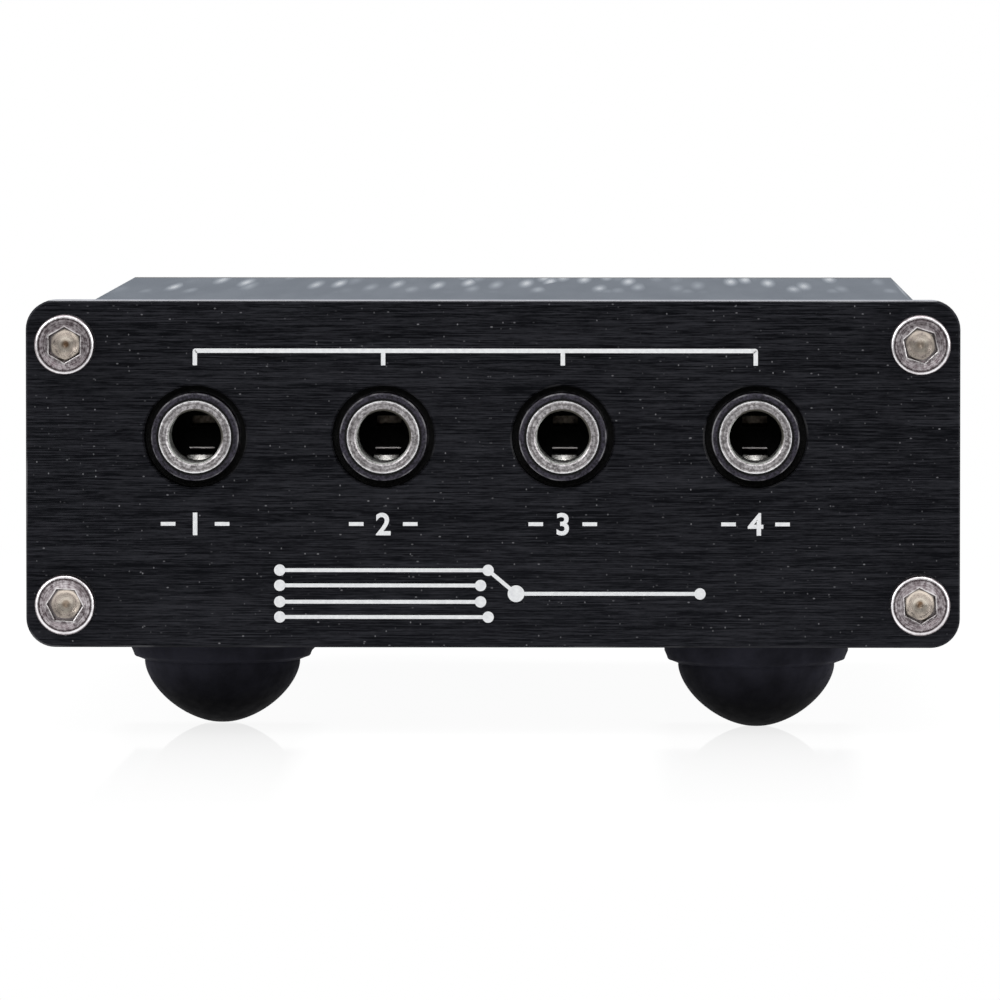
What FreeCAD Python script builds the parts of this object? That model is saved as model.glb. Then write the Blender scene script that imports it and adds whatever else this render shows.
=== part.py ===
"""Audio source selector: a small metal box with four 3.5 mm input jacks on one panel,
and an output jack and a rotary selector switch on the other.

Millimetres. While modelling, X is to the right seen from the input side, Y is the depth behind
the input panel's front face, and Z is the height above the middle of the case.
Each piece is moved to the row frame when it is saved: +Z up, origin at the middle of the
object's box, on the surface that it stands on, with the input panel facing -Y."""

import FreeCAD, Part
import math
import os

Vector = FreeCAD.Vector
along_y = Vector(0, 1, 0)

# case: two extruded shells that meet at mid height
case_width = 63.0
case_height = 22.4
case_length = 75.0
case_shoulder = 2.9      # 45 degree bevel along each long edge
wall = 1.5
web_side_wall = 0.82     # from a far screw's thread to the face of the corner web beside it
web_top_wall = 1.02      # and to the web's face towards mid height
tongue_width = 0.5
tongue_height = 0.8
shell_fit = 0.05         # clearance round each tongue

# panels
panel_side_overhang = 0.5     # of the input panel, past the case
panel_top_overhang = 0.7
panel_thickness = 2.0
panel_corner = 2.0
panel_edge = 0.12        # bevel round the outer edge
hole_edge = 0.12

# panel screws
head_diameter = 4.1
head_height = 2.0
head_round = 0.35
shank_diameter = 1.76    # thread drawn as a plain rod at its pitch diameter
screw_length = 7.0
tapped_depth = 9.0
socket_flats = 2.15
socket_depth = 1.2
socket_lead = 0.18
socket_floor_depth = 0.35
thread_fit = 0.02
screw_clearance = 0.22
bevel_skin = 0.267       # metal between an input screw's thread and the case's bevel
screw_shift = 0.05       # the input screws are this much nearer to mid height than to the bevel
far_screw_side = 4.5     # from the case's side to a far screw's axis
far_screw_top = 3.3
socket_turns = [0.0, 12.0, 27.0, 3.0]     # each screw stops where it happens to be tight

# feet
foot_height = 6.7
foot_flange_diameter = 12.6
foot_flange_taper = 0.4  # the flange is this much narrower near the dome
foot_flange_round = 0.3
foot_step = 0.6          # from the flange in to the dome
dome_swell = 0.15        # the dome's radius of curvature is larger than its half width by this
foot_flat_diameter = 2.0
adhesive_thickness = 0.3
adhesive_inset = 0.4
feet = {                 # side, end, and the flange's gaps to the case's side and end
    "front_left": (-1, -1, 6.1, 4.7),
    "front_right": (1, -1, 7.1, 1.2),
    "rear_left": (-1, 1, 6.6, 3.7),
    "rear_right": (1, 1, 6.6, 3.7),
}

# boards
board_thickness = 1.6
board_gap = 0.15
ledge_width = 1.2
ledge_height = 0.9
board_end_gap = 1.0
board_cut_margin = 0.8
leg_hole_gap = 0.12
leg_drop = 0.85          # how far the legs stand out under the board

# 3.5 mm jacks
jack_height = 2.55       # axis above the middle of the case
first_jack_side = 11.1   # from the case's side to the axis
last_jack_side = 13.5
jack_shifts = [0.0, 0.1, -0.4, 0.0]       # of each input jack from even spacing
output_side = 15.5
jack_bore = 3.6
sleeve_wall = 0.7
sleeve_proud = 0.5
sleeve_seat_depth = 2.4  # of the sleeve in its housing
sleeve_leg_back = 1.2    # from the sleeve's inner end to its leg
mouth_bevel = 0.32
sleeve_edge = 0.08
collar_wall = 0.5
collar_proud = 0.3
collar_edge = 0.12
collar_gap = 0.5         # round the collar in the panel's hole
housing_gap = 0.2        # between the housing and the panel
housing_side = 1.2       # the housing is larger than the collar by these
housing_cover = 0.9
housing_foot = 1.3
housing_reach = 11.4     # behind the sleeve
housing_back_wall = 1.2
cavity_side = 0.4        # the cavity is larger than the bore by these
cavity_rise = 0.5
part_fit = 0.02          # between pieces pressed or moulded together
spring_width = 1.75
spring_thickness = 0.15
leg_width = 0.8
leg_root = 0.2           # how far a leg runs into what it grows from
ring_leg = 5.0           # depth behind the sleeve's inner end
tip_leg = 8.8
ring_spring_bends = [(5.0, 0.15), (2.6, -0.22), (1.8, 0.1)]    # depth behind the sleeve, drop below the bore
tip_spring_bends = [(8.8, 0.1), (7.7, -0.53), (6.2, -0.53)]
rear_slot = (0.1, 0.4)   # heights of the slot that the rear contact passes through, from the axis
rear_tab_top = 0.85

# selector switch
switch_side = 21.5       # from the case's side to the axis
switch_z = 0.0
switch_room = 1.3        # between the switch and the case, above and below
position_step = 30.0
shaft_diameter = 6.0
shaft_tail_diameter = 4.0
shaft_flat = 0.8
turned_edge = 0.3
running_gap = 0.04
bushing_wall = 1.5
bushing_out = 1.0        # past the nut
bushing_hole_gap = 0.2
flange_thickness = 1.5
nut_wall = 1.0           # from the bushing to the flats
nut_thickness = 2.0
nut_lead = 0.5
washer_ring = 1.3
washer_thickness = 0.4
clip_ring = 1.7          # the clip's outside, from its groove's floor
clip_thickness = 0.5
clip_groove = 0.5
clip_gap = 0.1
body_length = 12.5
body_wall = 0.9
notch_depth = 0.25
notch_rim = 0.05         # from the notches' floor to the chamber's wall
notch_gap = 0.1
hub_gap = 0.15           # at each end of the index hub
hub_end_wall = 0.9       # beside the ball's hole
hub_rivet_gap = 0.55
bearing_step = 0.2
ball_diameter = 2.4
ball_gap = 0.06
ball_guide_gap = 0.03
spring_wire = 0.25
spring_coils = 9
rotor_rivet_gap = 0.35
rotor_play = 0.74
stator_thickness = 2.0
stator_gap = 0.1
contact_inset = 0.4      # from the rotor's edge to the contacts' axes
contact_diameter = 1.2
contact_height = 0.4
common_width = 0.8
common_margin = 11.0     # degrees that a common plate runs past the wiper's ends of travel
wiper_width = 1.0
wiper_thickness = 0.3
wiper_gap = 0.06
wiper_foot = (0.25, 0.45)     # small and large radius of the wiper's points
rivet_edge = 0.6         # from the rivets' axes to the ridges
rivet_diameter = 0.9
rivet_head_diameter = 1.6
rivet_head_height = 0.4
terminal_width = 0.5
switch_board_gap = 1.6
switch_board_side = 0.1  # the board is wider than the switch by this, and lower by the next
switch_board_trim = 0.2
header_pitch = 1.27
header_height = 2.5
header_depth = 2.4
pin_side = 0.5
pin_stand_out = 0.6

# knob
knob_length = 12.2
knob_gap = 0.8           # between the knob and the far panel
knob_nut_gap = 0.25      # round the nut's corners
knob_wall = 0.55         # round the recess
knob_step = 0.6          # from the waist out to the skirt
knob_skirt_length = 2.6
knob_skirt_bevel = 0.5
knob_face_bevel = 0.9
knob_face_wall = 2.0
knob_clip_room = 0.5
knob_bore_gap = 0.02
shaft_end_gap = 0.4
grip_grooves = 36
grip_groove_radius = 0.32
grip_margin = 0.8        # from the skirt and from the face's bevel
pointer_width = 0.9
pointer_depth = 0.5
pointer_start = 2.4      # from the knob's axis
pointer_foot = 0.3       # from the skirt to the end of the inlay
set_screw_diameter = 2.6
set_screw_back = 2.8     # from the bore's end
set_screw_length = 3.4
set_screw_socket = 1.3
set_screw_socket_depth = 1.2

# case and panels, worked out from the sizes above
far_inside = panel_thickness + case_length
far_outside = far_inside + panel_thickness
panel_width = case_width + 2 * panel_side_overhang
panel_height = case_height + 2 * panel_top_overhang
inner_half_width = case_width / 2 - wall
inner_half_height = case_height / 2 - wall
thread_hole = shank_diameter + 2 * thread_fit
screw_margin = (math.sqrt(2) * (thread_hole / 2 + bevel_skin) - screw_shift) / 2
input_screw_x = case_width / 2 - case_shoulder / 2 - screw_margin
input_screw_z = case_height / 2 - case_shoulder / 2 - screw_margin - screw_shift
far_screw_x = case_width / 2 - far_screw_side
far_screw_z = case_height / 2 - far_screw_top
web_x = far_screw_x - shank_diameter / 2 - web_side_wall
web_z = far_screw_z - shank_diameter / 2 - web_top_wall

# jacks, depths from the outside of the panel and heights from the jack's axis
input_jacks = len(jack_shifts)
first_jack_x = first_jack_side - case_width / 2
jack_pitch = (case_width - first_jack_side - last_jack_side) / (input_jacks - 1)
output_x = case_width / 2 - output_side
sleeve_diameter = jack_bore + 2 * sleeve_wall
collar_diameter = sleeve_diameter + 2 * collar_wall
jack_hole = collar_diameter + 2 * collar_gap
housing_start = panel_thickness + housing_gap
sleeve_end = housing_start + sleeve_seat_depth
housing_end = sleeve_end + housing_reach
housing_width = collar_diameter + 2 * housing_side
housing_top = collar_diameter / 2 + housing_cover
housing_bottom = -collar_diameter / 2 - housing_foot
cavity_width = jack_bore + 2 * cavity_side
cavity_height = jack_bore + 2 * cavity_rise
board_top = jack_height + housing_bottom
board_bottom = board_top - board_thickness

# switch: places across its axis
switch_x = switch_side - case_width / 2
positions = input_jacks
bushing_diameter = shaft_diameter + 2 * bushing_wall
nut_flats = bushing_diameter + 2 * nut_wall
body_diameter = 2 * (inner_half_height - switch_room)
chamber_radius = body_diameter / 2 - body_wall
ridge_radius = chamber_radius - notch_rim - notch_depth
rivet_radius = ridge_radius - rivet_edge
hub_diameter = 2 * (rivet_radius - rivet_diameter / 2 - hub_rivet_gap)
rotor_diameter = 2 * (rivet_radius - rivet_diameter / 2 - rotor_rivet_gap)
contact_radius = rotor_diameter / 2 - contact_inset
common_radius = (shaft_tail_diameter / 2 + contact_radius - contact_diameter / 2) / 2
common_arc = position_step * (positions - 1) + 2 * common_margin
header_pins = 2 * positions + 2

# switch: depths from the outside of the input panel
bushing_end = far_outside + washer_thickness + nut_thickness + bushing_out
clip_start = bushing_end + clip_gap
flange_start = far_inside - flange_thickness
hub_end = flange_start - hub_gap
hub_start = hub_end - ball_diameter - 2 * hub_end_wall
ball_y = (hub_start + hub_end) / 2
chamber_start = hub_start - hub_gap
bearing_start = chamber_start - bearing_step
stator_bottom = flange_start - body_length
stator_top = stator_bottom + stator_thickness
contact_top = stator_top + contact_height
wiper_start = contact_top + wiper_gap
rotor_start = wiper_start + 2 * wiper_thickness
rotor_end = bearing_start - rotor_play
switch_board_front = stator_bottom - switch_board_gap - board_thickness
header_y = switch_board_front - board_cut_margin - header_depth / 2

# knob
knob_start = far_outside + knob_gap
knob_end = knob_start + knob_length
recess_end = clip_start + clip_thickness + knob_clip_room
bore_end = knob_end - knob_face_wall
set_screw_y = bore_end - set_screw_back
recess_diameter = 2 * (nut_flats / math.sqrt(3) + knob_nut_gap)
waist_diameter = recess_diameter + 2 * knob_wall
knob_diameter = waist_diameter + 2 * knob_step

# row frame
depth_middle = (knob_end - head_height) / 2
middle_height = case_height / 2 + foot_height


def block(x0, x1, y0, y1, z0, z1):
    return Part.makeBox(x1 - x0, y1 - y0, z1 - z0, Vector(x0, y0, z0))


def rod(diameter, y0, y1, x=0.0, z=0.0):
    return Part.makeCylinder(diameter / 2, y1 - y0, Vector(x, y0, z), along_y)


def section(points, y0, y1):
    """A closed outline in X and Z, drawn out along the depth."""
    corners = [Vector(x, y0, z) for x, z in points]
    face = Part.Face(Part.makePolygon(corners + corners[:1]))
    return face.extrude(Vector(0, y1 - y0, 0))


def turned(profile, axis_point=Vector(0, 0, 0), axis=along_y):
    """A closed outline of (radius, place along the axis) points, turned about the axis."""
    across = Vector(1, 0, 0)
    corners = [axis_point + across * r + axis * s for r, s in profile]
    face = Part.Face(Part.makePolygon(corners + corners[:1]))
    return face.revolve(axis_point, axis, 360)


def hexagon(flats, y0, y1, turn=0.0):
    radius = flats / math.sqrt(3)
    angles = [math.radians(turn + 60 * k) for k in range(6)]
    return section([(radius * math.sin(a), radius * math.cos(a)) for a in angles], y0, y1)


def strip(path, width, thickness):
    """A bent strip of sheet. The path is (depth, height) points along its middle."""
    sides = ([], [])
    for k, (y, z) in enumerate(path):
        directions = []
        for a, b in ((k - 1, k), (k, k + 1)):
            if a >= 0 and b < len(path):
                dy, dz = path[b][0] - path[a][0], path[b][1] - path[a][1]
                length = math.hypot(dy, dz)
                directions.append((-dz / length, dy / length))
        ny = sum(n[0] for n in directions) / len(directions)
        nz = sum(n[1] for n in directions) / len(directions)
        reach = thickness / 2 / (ny * ny + nz * nz)
        sides[0].append((y + ny * reach, z + nz * reach))
        sides[1].append((y - ny * reach, z - nz * reach))
    outline = sides[0] + sides[1][::-1]
    corners = [Vector(-width / 2, y, z) for y, z in outline]
    face = Part.Face(Part.makePolygon(corners + corners[:1]))
    return face.extrude(Vector(width, 0, 0))


def bevel(shape, size, y):
    """Bevels the edges that lie in the plane at this depth."""
    flat_edges = []
    for edge in shape.Edges:
        box = edge.BoundBox
        if abs(box.YMin - y) < 1e-6 and abs(box.YMax - y) < 1e-6:
            flat_edges.append(edge)
    return shape.makeChamfer(size, flat_edges)


def corners_at(x, z):
    """The four screw places of a panel, from the top left, row by row."""
    return [(-x, z), (x, z), (-x, -z), (x, -z)]


def case_outline(top_sign):
    half, high, shoulder = case_width / 2, case_height / 2, case_shoulder
    points = [(-half, 0), (-half, high - shoulder), (-half + shoulder, high),
              (half - shoulder, high), (half, high - shoulder), (half, 0)]
    return [(x, z * top_sign) for x, z in points]


def shell(top_sign):
    """One extruded half of the case: walls, corner webs and tapped holes."""
    inside = [(inner_half_width, 0), (inner_half_width, web_z), (web_x, web_z),
              (web_x, inner_half_height), (-web_x, inner_half_height), (-web_x, web_z),
              (-inner_half_width, web_z), (-inner_half_width, 0)]
    outline = case_outline(top_sign) + [(x, z * top_sign) for x, z in inside]
    body = section(outline, panel_thickness, far_inside)
    for side in (-1, 1):
        body = body.cut(rod(thread_hole, panel_thickness, panel_thickness + tapped_depth,
                            side * input_screw_x, top_sign * input_screw_z))
        body = body.cut(rod(thread_hole, far_inside - tapped_depth, far_inside,
                            side * far_screw_x, top_sign * far_screw_z))
    return body


def tongues(extra):
    """The rails along the top shell's edges, or with extra the grooves that take them."""
    rails = []
    for side in (-1, 1):
        middle = side * (case_width / 2 - wall / 2)
        reach = tongue_width / 2 + extra
        rails.append(block(middle - reach, middle + reach, panel_thickness, far_inside,
                           -tongue_height - extra, 0))
    return rails


def top_shell():
    return shell(1).multiFuse(tongues(0)).removeSplitter()


def bottom_shell():
    """The lower half has the grooves, and two ledges a side that hold the board's edges."""
    body = shell(-1)
    for groove in tongues(shell_fit):
        body = body.cut(groove)
    ledges = []
    for side in (-1, 1):
        x0, x1 = sorted((side * inner_half_width, side * (inner_half_width - ledge_width)))
        for low in (board_bottom - board_gap - ledge_height, board_top + board_gap):
            ledges.append(block(x0, x1, panel_thickness, far_inside, low, low + ledge_height))
    return body.multiFuse(ledges).removeSplitter()


def input_panel():
    """The panel overhangs the case a little all round, and has rounded corners."""
    plate = block(-panel_width / 2, panel_width / 2, 0, panel_thickness,
                  -panel_height / 2, panel_height / 2)
    upright = [e for e in plate.Edges if abs(e.BoundBox.YMax - e.BoundBox.YMin - panel_thickness) < 1e-6]
    plate = bevel(plate.makeFillet(panel_corner, upright), panel_edge, 0)
    for _, x, output in jack_table():
        if not output:
            plate = plate.cut(jack_opening(x, 0, 1))
    for x, z in corners_at(input_screw_x, input_screw_z):
        plate = plate.cut(screw_hole(x, z, 0))
    return plate


def selector_panel():
    """The far panel is flush with the case's bevelled outline."""
    upper, lower = case_outline(1)[1:-1], case_outline(-1)[1:-1]
    plate = section(upper + lower[::-1], far_inside, far_outside)
    plate = bevel(plate, panel_edge, far_outside)
    plate = plate.cut(jack_opening(output_x, far_outside, -1))
    plate = plate.cut(rod(bushing_diameter + 2 * bushing_hole_gap, far_inside, far_outside,
                          switch_x, switch_z))
    for x, z in corners_at(far_screw_x, far_screw_z):
        plate = plate.cut(screw_hole(x, z, far_inside))
    return plate


def jack_opening(x, outside, inward):
    """A jack's hole through a panel, with its edge broken on the outside."""
    radius = jack_hole / 2
    lead = turned([(0, 0), (radius + hole_edge, 0), (radius, inward * hole_edge), (0, inward * hole_edge)],
                  Vector(x, outside, jack_height))
    start = min(outside, outside + inward * panel_thickness)
    return rod(jack_hole, start, start + panel_thickness, x, jack_height).fuse(lead)


def screw_hole(x, z, start):
    return rod(shank_diameter + 2 * screw_clearance, start, start + panel_thickness, x, z)


def cap_screw(turn):
    """A socket cap screw whose head rests on the plane y = 0, with its shank along +Y."""
    face = -head_height
    head = rod(head_diameter, face, 0)
    rim = [e for e in head.Edges if abs(e.BoundBox.YMax - face) < 1e-6 and abs(e.BoundBox.YMin - face) < 1e-6]
    head = head.makeFillet(head_round, rim)
    head = head.cut(hexagon(socket_flats, face, face + socket_depth, turn))
    mouth = socket_flats / math.sqrt(3) + thread_fit
    lead = turned([(0, 0), (mouth, 0), (mouth - socket_lead, socket_lead), (0, socket_lead)],
                  Vector(0, face, 0))
    floor = turned([(0, 0), (socket_flats / 2, 0), (0, socket_floor_depth)],
                   Vector(0, face + socket_depth, 0))
    shank = rod(shank_diameter, 0, screw_length)
    tip = Part.makeCone(shank_diameter / 2, shank_diameter / 4, shank_diameter / 4,
                        Vector(0, screw_length, 0), along_y)
    return head.cut(lead).cut(floor).fuse(shank).fuse(tip).removeSplitter()


def screws(x, z, face, inward):
    """Four cap screws on a panel. inward is 1 on the input panel and -1 on the far one."""
    made = []
    for (px, pz), turn in zip(corners_at(x, z), socket_turns):
        screw = cap_screw(turn)
        if inward < 0:
            screw.rotate(Vector(0, 0, 0), Vector(0, 0, 1), 180)
        screw.translate(Vector(px, face, pz))
        made.append(screw)
    return made


def foot_places():
    """Name, x and y of each foot's axis."""
    places = []
    radius = foot_flange_diameter / 2
    for name, (side, end, side_gap, end_gap) in feet.items():
        x = side * (case_width / 2 - side_gap - radius)
        y = far_inside - end_gap - radius if end > 0 else panel_thickness + end_gap + radius
        places.append((name, x, y))
    return places


def foot(x, y):
    """Rubber foot: a tapered flange, and a round dome with a small flat where it stands."""
    flange_top = foot_flange_diameter / 2
    flange_low = flange_top - foot_flange_taper / 2
    dome = flange_low - foot_step
    flat = foot_flat_diameter / 2
    curve = dome + dome_swell
    centre = math.sqrt(curve ** 2 - flat ** 2)
    dome_z = lambda r: centre - math.sqrt(curve ** 2 - r ** 2)
    top = foot_height - adhesive_thickness
    root = dome_z(dome)
    at = lambda r, z: Vector(r, 0, z)
    outline = [at(flange_low - foot_flange_round, root), at(flange_low, root + foot_flange_round),
               at(flange_top, top), at(0, top), at(0, 0), at(flat, 0)]
    edges = [Part.LineSegment(at(dome, root), outline[0])]
    edges += [Part.LineSegment(a, b) for a, b in zip(outline, outline[1:])]
    halfway = (dome + flat) / 2
    edges.append(Part.Arc(outline[-1], at(halfway, dome_z(halfway)), at(dome, root)))
    face = Part.Face(Part.Wire([e.toShape() for e in edges]))
    shape = face.revolve(Vector(0, 0, 0), Vector(0, 0, 1), 360)
    shape.translate(Vector(x, y, -middle_height))
    return shape


def adhesive_disc(x, y):
    return Part.makeCylinder(foot_flange_diameter / 2 - adhesive_inset, adhesive_thickness,
                             Vector(x, y, -case_height / 2 - adhesive_thickness), Vector(0, 0, 1))


def leg(depth, top, gap=0.0):
    """A solder leg, or with gap the hole that it passes through."""
    bottom = board_bottom - jack_height - leg_drop
    return block(-leg_width / 2 - gap, leg_width / 2 + gap, depth - spring_thickness / 2 - gap,
                 depth + spring_thickness / 2 + gap, bottom, top)


def jack_legs(gap):
    inside = -cavity_height / 2 + spring_thickness
    back = housing_end + part_fit + spring_thickness / 2
    return {
        "sleeve": leg(sleeve_end - sleeve_leg_back, -sleeve_diameter / 2 + leg_root, gap),
        "ring_spring": leg(sleeve_end + ring_leg, inside, gap),
        "tip_spring": leg(sleeve_end + tip_leg, inside, gap),
        "rear_contact": leg(back, inside, gap),
    }


def contact_spring(leg_depth, bends):
    """A spring that rises from its leg towards the axis, as far as a plug would push it back."""
    start = (sleeve_end + leg_depth, -cavity_height / 2 + part_fit)
    rest = [(sleeve_end + depth, -jack_bore / 2 - drop) for depth, drop in bends]
    return strip([start] + rest, spring_width, spring_thickness)


def jack_housing():
    housing = block(-housing_width / 2, housing_width / 2, housing_start, housing_end,
                    housing_bottom, housing_top)
    radius = collar_diameter / 2
    collar = turned([(0, -collar_proud), (radius - collar_edge, -collar_proud),
                     (radius, collar_edge - collar_proud), (radius, housing_start), (0, housing_start)])
    seat = rod(sleeve_diameter + 2 * part_fit, -collar_proud, sleeve_end)
    cavity = block(-cavity_width / 2, cavity_width / 2, sleeve_end, housing_end - housing_back_wall,
                   -cavity_height / 2, cavity_height / 2)
    slot = block(-spring_width / 2 - part_fit, spring_width / 2 + part_fit,
                 housing_end - housing_back_wall, housing_end, *rear_slot)
    housing = housing.fuse(collar).cut(seat).cut(cavity).cut(slot)
    for hole in jack_legs(leg_hole_gap).values():
        housing = housing.cut(hole)
    return housing


def jack_sleeve():
    outer, inner = sleeve_diameter / 2, jack_bore / 2
    barrel = turned([(inner + mouth_bevel, -sleeve_proud), (outer - sleeve_edge, -sleeve_proud),
                     (outer, sleeve_edge - sleeve_proud), (outer, sleeve_end), (inner, sleeve_end),
                     (inner, mouth_bevel - sleeve_proud)])
    return barrel.fuse(jack_legs(0)["sleeve"].cut(rod(jack_bore + leg_root, 0, sleeve_end)))


def rear_contact():
    """A tab across the back of the cavity, led out through a slot to its leg."""
    tab = housing_end - housing_back_wall - part_fit - spring_thickness / 2
    back = housing_end + part_fit + spring_thickness / 2
    shelf = sum(rear_slot) / 2
    return strip([(tab, rear_tab_top), (tab, shelf), (back, shelf), (back, -cavity_height / 2)],
                 spring_width, spring_thickness)


def jack_pieces():
    """The pieces of one jack. Its axis is Y, its mouth faces -Y, and the outside of its panel is y = 0."""
    legs = jack_legs(0)
    return {
        "housing": jack_housing(),
        "sleeve": jack_sleeve(),
        "ring_spring": contact_spring(ring_leg, ring_spring_bends).fuse(legs["ring_spring"]),
        "tip_spring": contact_spring(tip_leg, tip_spring_bends).fuse(legs["tip_spring"]),
        "rear_contact": rear_contact().fuse(legs["rear_contact"]),
    }


def place_jack(shape, x, output):
    placed = shape.copy()
    if output:
        placed.rotate(Vector(0, 0, 0), Vector(0, 0, 1), 180)
    placed.translate(Vector(x, far_outside if output else 0, jack_height))
    return placed


def jack_table():
    """Name, place and side of each jack."""
    rows = [("input_%d" % (k + 1), first_jack_x + jack_pitch * k + shift, False)
            for k, shift in enumerate(jack_shifts)]
    return rows + [("output", output_x, True)]


def main_board():
    """The board runs the length of the case, with a bay cut out for the switch."""
    half_width = inner_half_width - board_gap
    end = far_inside - board_end_gap
    board = block(-half_width, half_width, panel_thickness + board_end_gap, end, board_bottom, board_top)
    reach = body_diameter / 2 + board_cut_margin
    bay_front = switch_board_front - board_cut_margin
    board = board.cut(block(switch_x - reach, switch_x + reach, bay_front, end, board_bottom, board_top))
    for _, x, output in jack_table():
        for hole in jack_legs(leg_hole_gap).values():
            board = board.cut(place_jack(hole, x, output))
    side = pin_side / 2 + leg_hole_gap
    for x in header_places():
        board = board.cut(block(x - side, x + side, header_y - side, header_y + side,
                                board_bottom, board_top))
    return board


def header_places():
    first = switch_x - header_pitch * (header_pins - 1) / 2
    return [first + header_pitch * k for k in range(header_pins)]


def link_header():
    """The plastic strip that holds the bent pins on the main board."""
    half = header_depth / 2
    reach = header_pitch * header_pins / 2
    holder = block(switch_x - reach, switch_x + reach, header_y - half, header_y + half,
                   board_top, board_top + header_height)
    for pin in link_pins(part_fit):
        holder = holder.cut(pin)
    return holder


def link_pins(extra=0.0):
    side = pin_side / 2 + extra
    z = board_top + header_height / 2
    end = switch_board_front + board_thickness + pin_stand_out
    pins = []
    for x in header_places():
        across = block(x - side, x + side, header_y - side, end, z - side, z + side)
        down = block(x - side, x + side, header_y - side, header_y + side, board_bottom - leg_drop, z)
        pins.append(across.fuse(down).removeSplitter())
    return pins


def terminal_places():
    """Angle from straight up, towards +X, and radius of each terminal's leg: the throws, then the commons."""
    throws = [rest_turn() - position_step * k + pole for pole in (0, 180) for k in range(positions)]
    return [(a, contact_radius) for a in throws] + [(0, common_radius), (180, common_radius)]


def around(radius, angle):
    """X and Z of a point round the switch's axis. The angle is from straight up, towards +X."""
    a = math.radians(angle)
    return switch_x + radius * math.sin(a), switch_z + radius * math.cos(a)


def rivet_places():
    return [around(rivet_radius, 90), around(rivet_radius, -90)]


def switch_bushing():
    """The switch's metal frame: a square flange and the bushing that passes through the far panel."""
    half = body_diameter / 2
    flange = block(switch_x - half, switch_x + half, flange_start, far_inside,
                   switch_z - half, switch_z + half)
    bushing = rod(bushing_diameter, far_inside, bushing_end, switch_x, switch_z)
    bushing = bevel(bushing, turned_edge, bushing_end)
    frame = flange.fuse(bushing)
    frame = frame.cut(rod(shaft_diameter + 2 * running_gap, flange_start, bushing_end, switch_x, switch_z))
    for x, z in rivet_places():
        frame = frame.cut(rod(rivet_diameter + 2 * part_fit, flange_start, far_inside, x, z))
    return frame


def switch_washer():
    end = far_outside + washer_thickness
    ring = rod(bushing_diameter + 2 * washer_ring, far_outside, end, switch_x, switch_z)
    return ring.cut(rod(bushing_diameter + 2 * bushing_hole_gap, far_outside, end, switch_x, switch_z))


def switch_nut():
    start = far_outside + washer_thickness
    end = start + nut_thickness
    corner = nut_flats / math.sqrt(3)
    barrel = turned([(0, start), (corner, start), (corner, end - nut_lead / 2),
                     (corner - nut_lead, end), (0, end)])
    nut = hexagon(nut_flats, start, end).common(barrel)
    nut.translate(Vector(switch_x, 0, switch_z))
    return nut.cut(rod(bushing_diameter + 2 * part_fit, start, end, switch_x, switch_z))


def flat_cut(y0, y1):
    """What is cut from the shaft for its flat, which faces away from the pointer."""
    radius = shaft_diameter / 2
    return block(-radius, radius, y0, y1, -radius, -radius + shaft_flat)


def ball_hole(length):
    """The hole across the shaft and the hub in which the balls and their spring slide."""
    return Part.makeCylinder(ball_diameter / 2 + ball_guide_gap, length,
                             Vector(0, ball_y, -length / 2), Vector(0, 0, 1))


def shaft():
    """The selector's shaft, made on the axis x = z = 0 with the knob's pointer up."""
    end = bore_end - shaft_end_gap
    body = rod(shaft_diameter, bearing_start, end)
    body = body.fuse(rod(shaft_tail_diameter, stator_bottom - bearing_step, bearing_start))
    body = body.cut(flat_cut(bearing_start, hub_end))
    body = body.cut(flat_cut(recess_end, end))
    groove_start, groove_end = clip_start - part_fit, clip_start + clip_thickness + part_fit
    groove = rod(shaft_diameter, groove_start, groove_end)
    groove = groove.cut(rod(shaft_diameter - 2 * clip_groove, groove_start, groove_end))
    return bevel(body, turned_edge, end).cut(groove).cut(ball_hole(shaft_diameter))


def shaft_clip():
    """The ring that keeps the shaft in the bushing, open on one side so that it can be pushed on."""
    floor = shaft_diameter - 2 * clip_groove
    outer = floor + 2 * clip_ring
    hole = floor + 2 * part_fit
    end = clip_start + clip_thickness
    mouth = hole / 2 - turned_edge
    ring = rod(outer, clip_start, end).cut(rod(hole, clip_start, end))
    return ring.cut(block(-mouth, mouth, clip_start, end, 0, outer))


def ball_place():
    return ridge_radius - ball_gap - ball_diameter / 2


def index_hub():
    """Turns with the shaft, and carries the balls and their spring in a hole across it."""
    bore = rod(shaft_diameter + 2 * part_fit, hub_start, hub_end)
    bore = bore.cut(flat_cut(hub_start, hub_end).translated(Vector(0, 0, -part_fit)))
    return rod(hub_diameter, hub_start, hub_end).cut(bore).cut(ball_hole(hub_diameter))


def detent_balls():
    return [Part.makeSphere(ball_diameter / 2, Vector(0, ball_y, side * ball_place())) for side in (1, -1)]


def detent_spring():
    """A coil spring between the balls, as one tube through quarter turns."""
    radius = ball_diameter / 2 - spring_wire / 2 - ball_guide_gap
    touch = (ball_diameter + spring_wire) / 2 + ball_guide_gap
    reach = ball_place() - math.sqrt(touch ** 2 - radius ** 2)
    quarter_turns = spring_coils * 4
    rise = 2 * reach / quarter_turns

    def on_coil(k):
        angle = math.pi / 2 * k
        return Vector(radius * math.cos(angle), ball_y + radius * math.sin(angle), rise * k - reach)

    arcs = [Part.Arc(on_coil(k), on_coil(k + 0.5), on_coil(k + 1)).toShape() for k in range(quarter_turns)]
    ring = Part.Wire([Part.makeCircle(spring_wire / 2, on_coil(0), Vector(0, math.pi / 2 * radius, rise))])
    print("detent spring: least gap between coils %.2f mm" % (4 * rise - spring_wire))
    return Part.Wire(arcs).makePipeShell([ring], True, False)


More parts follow.
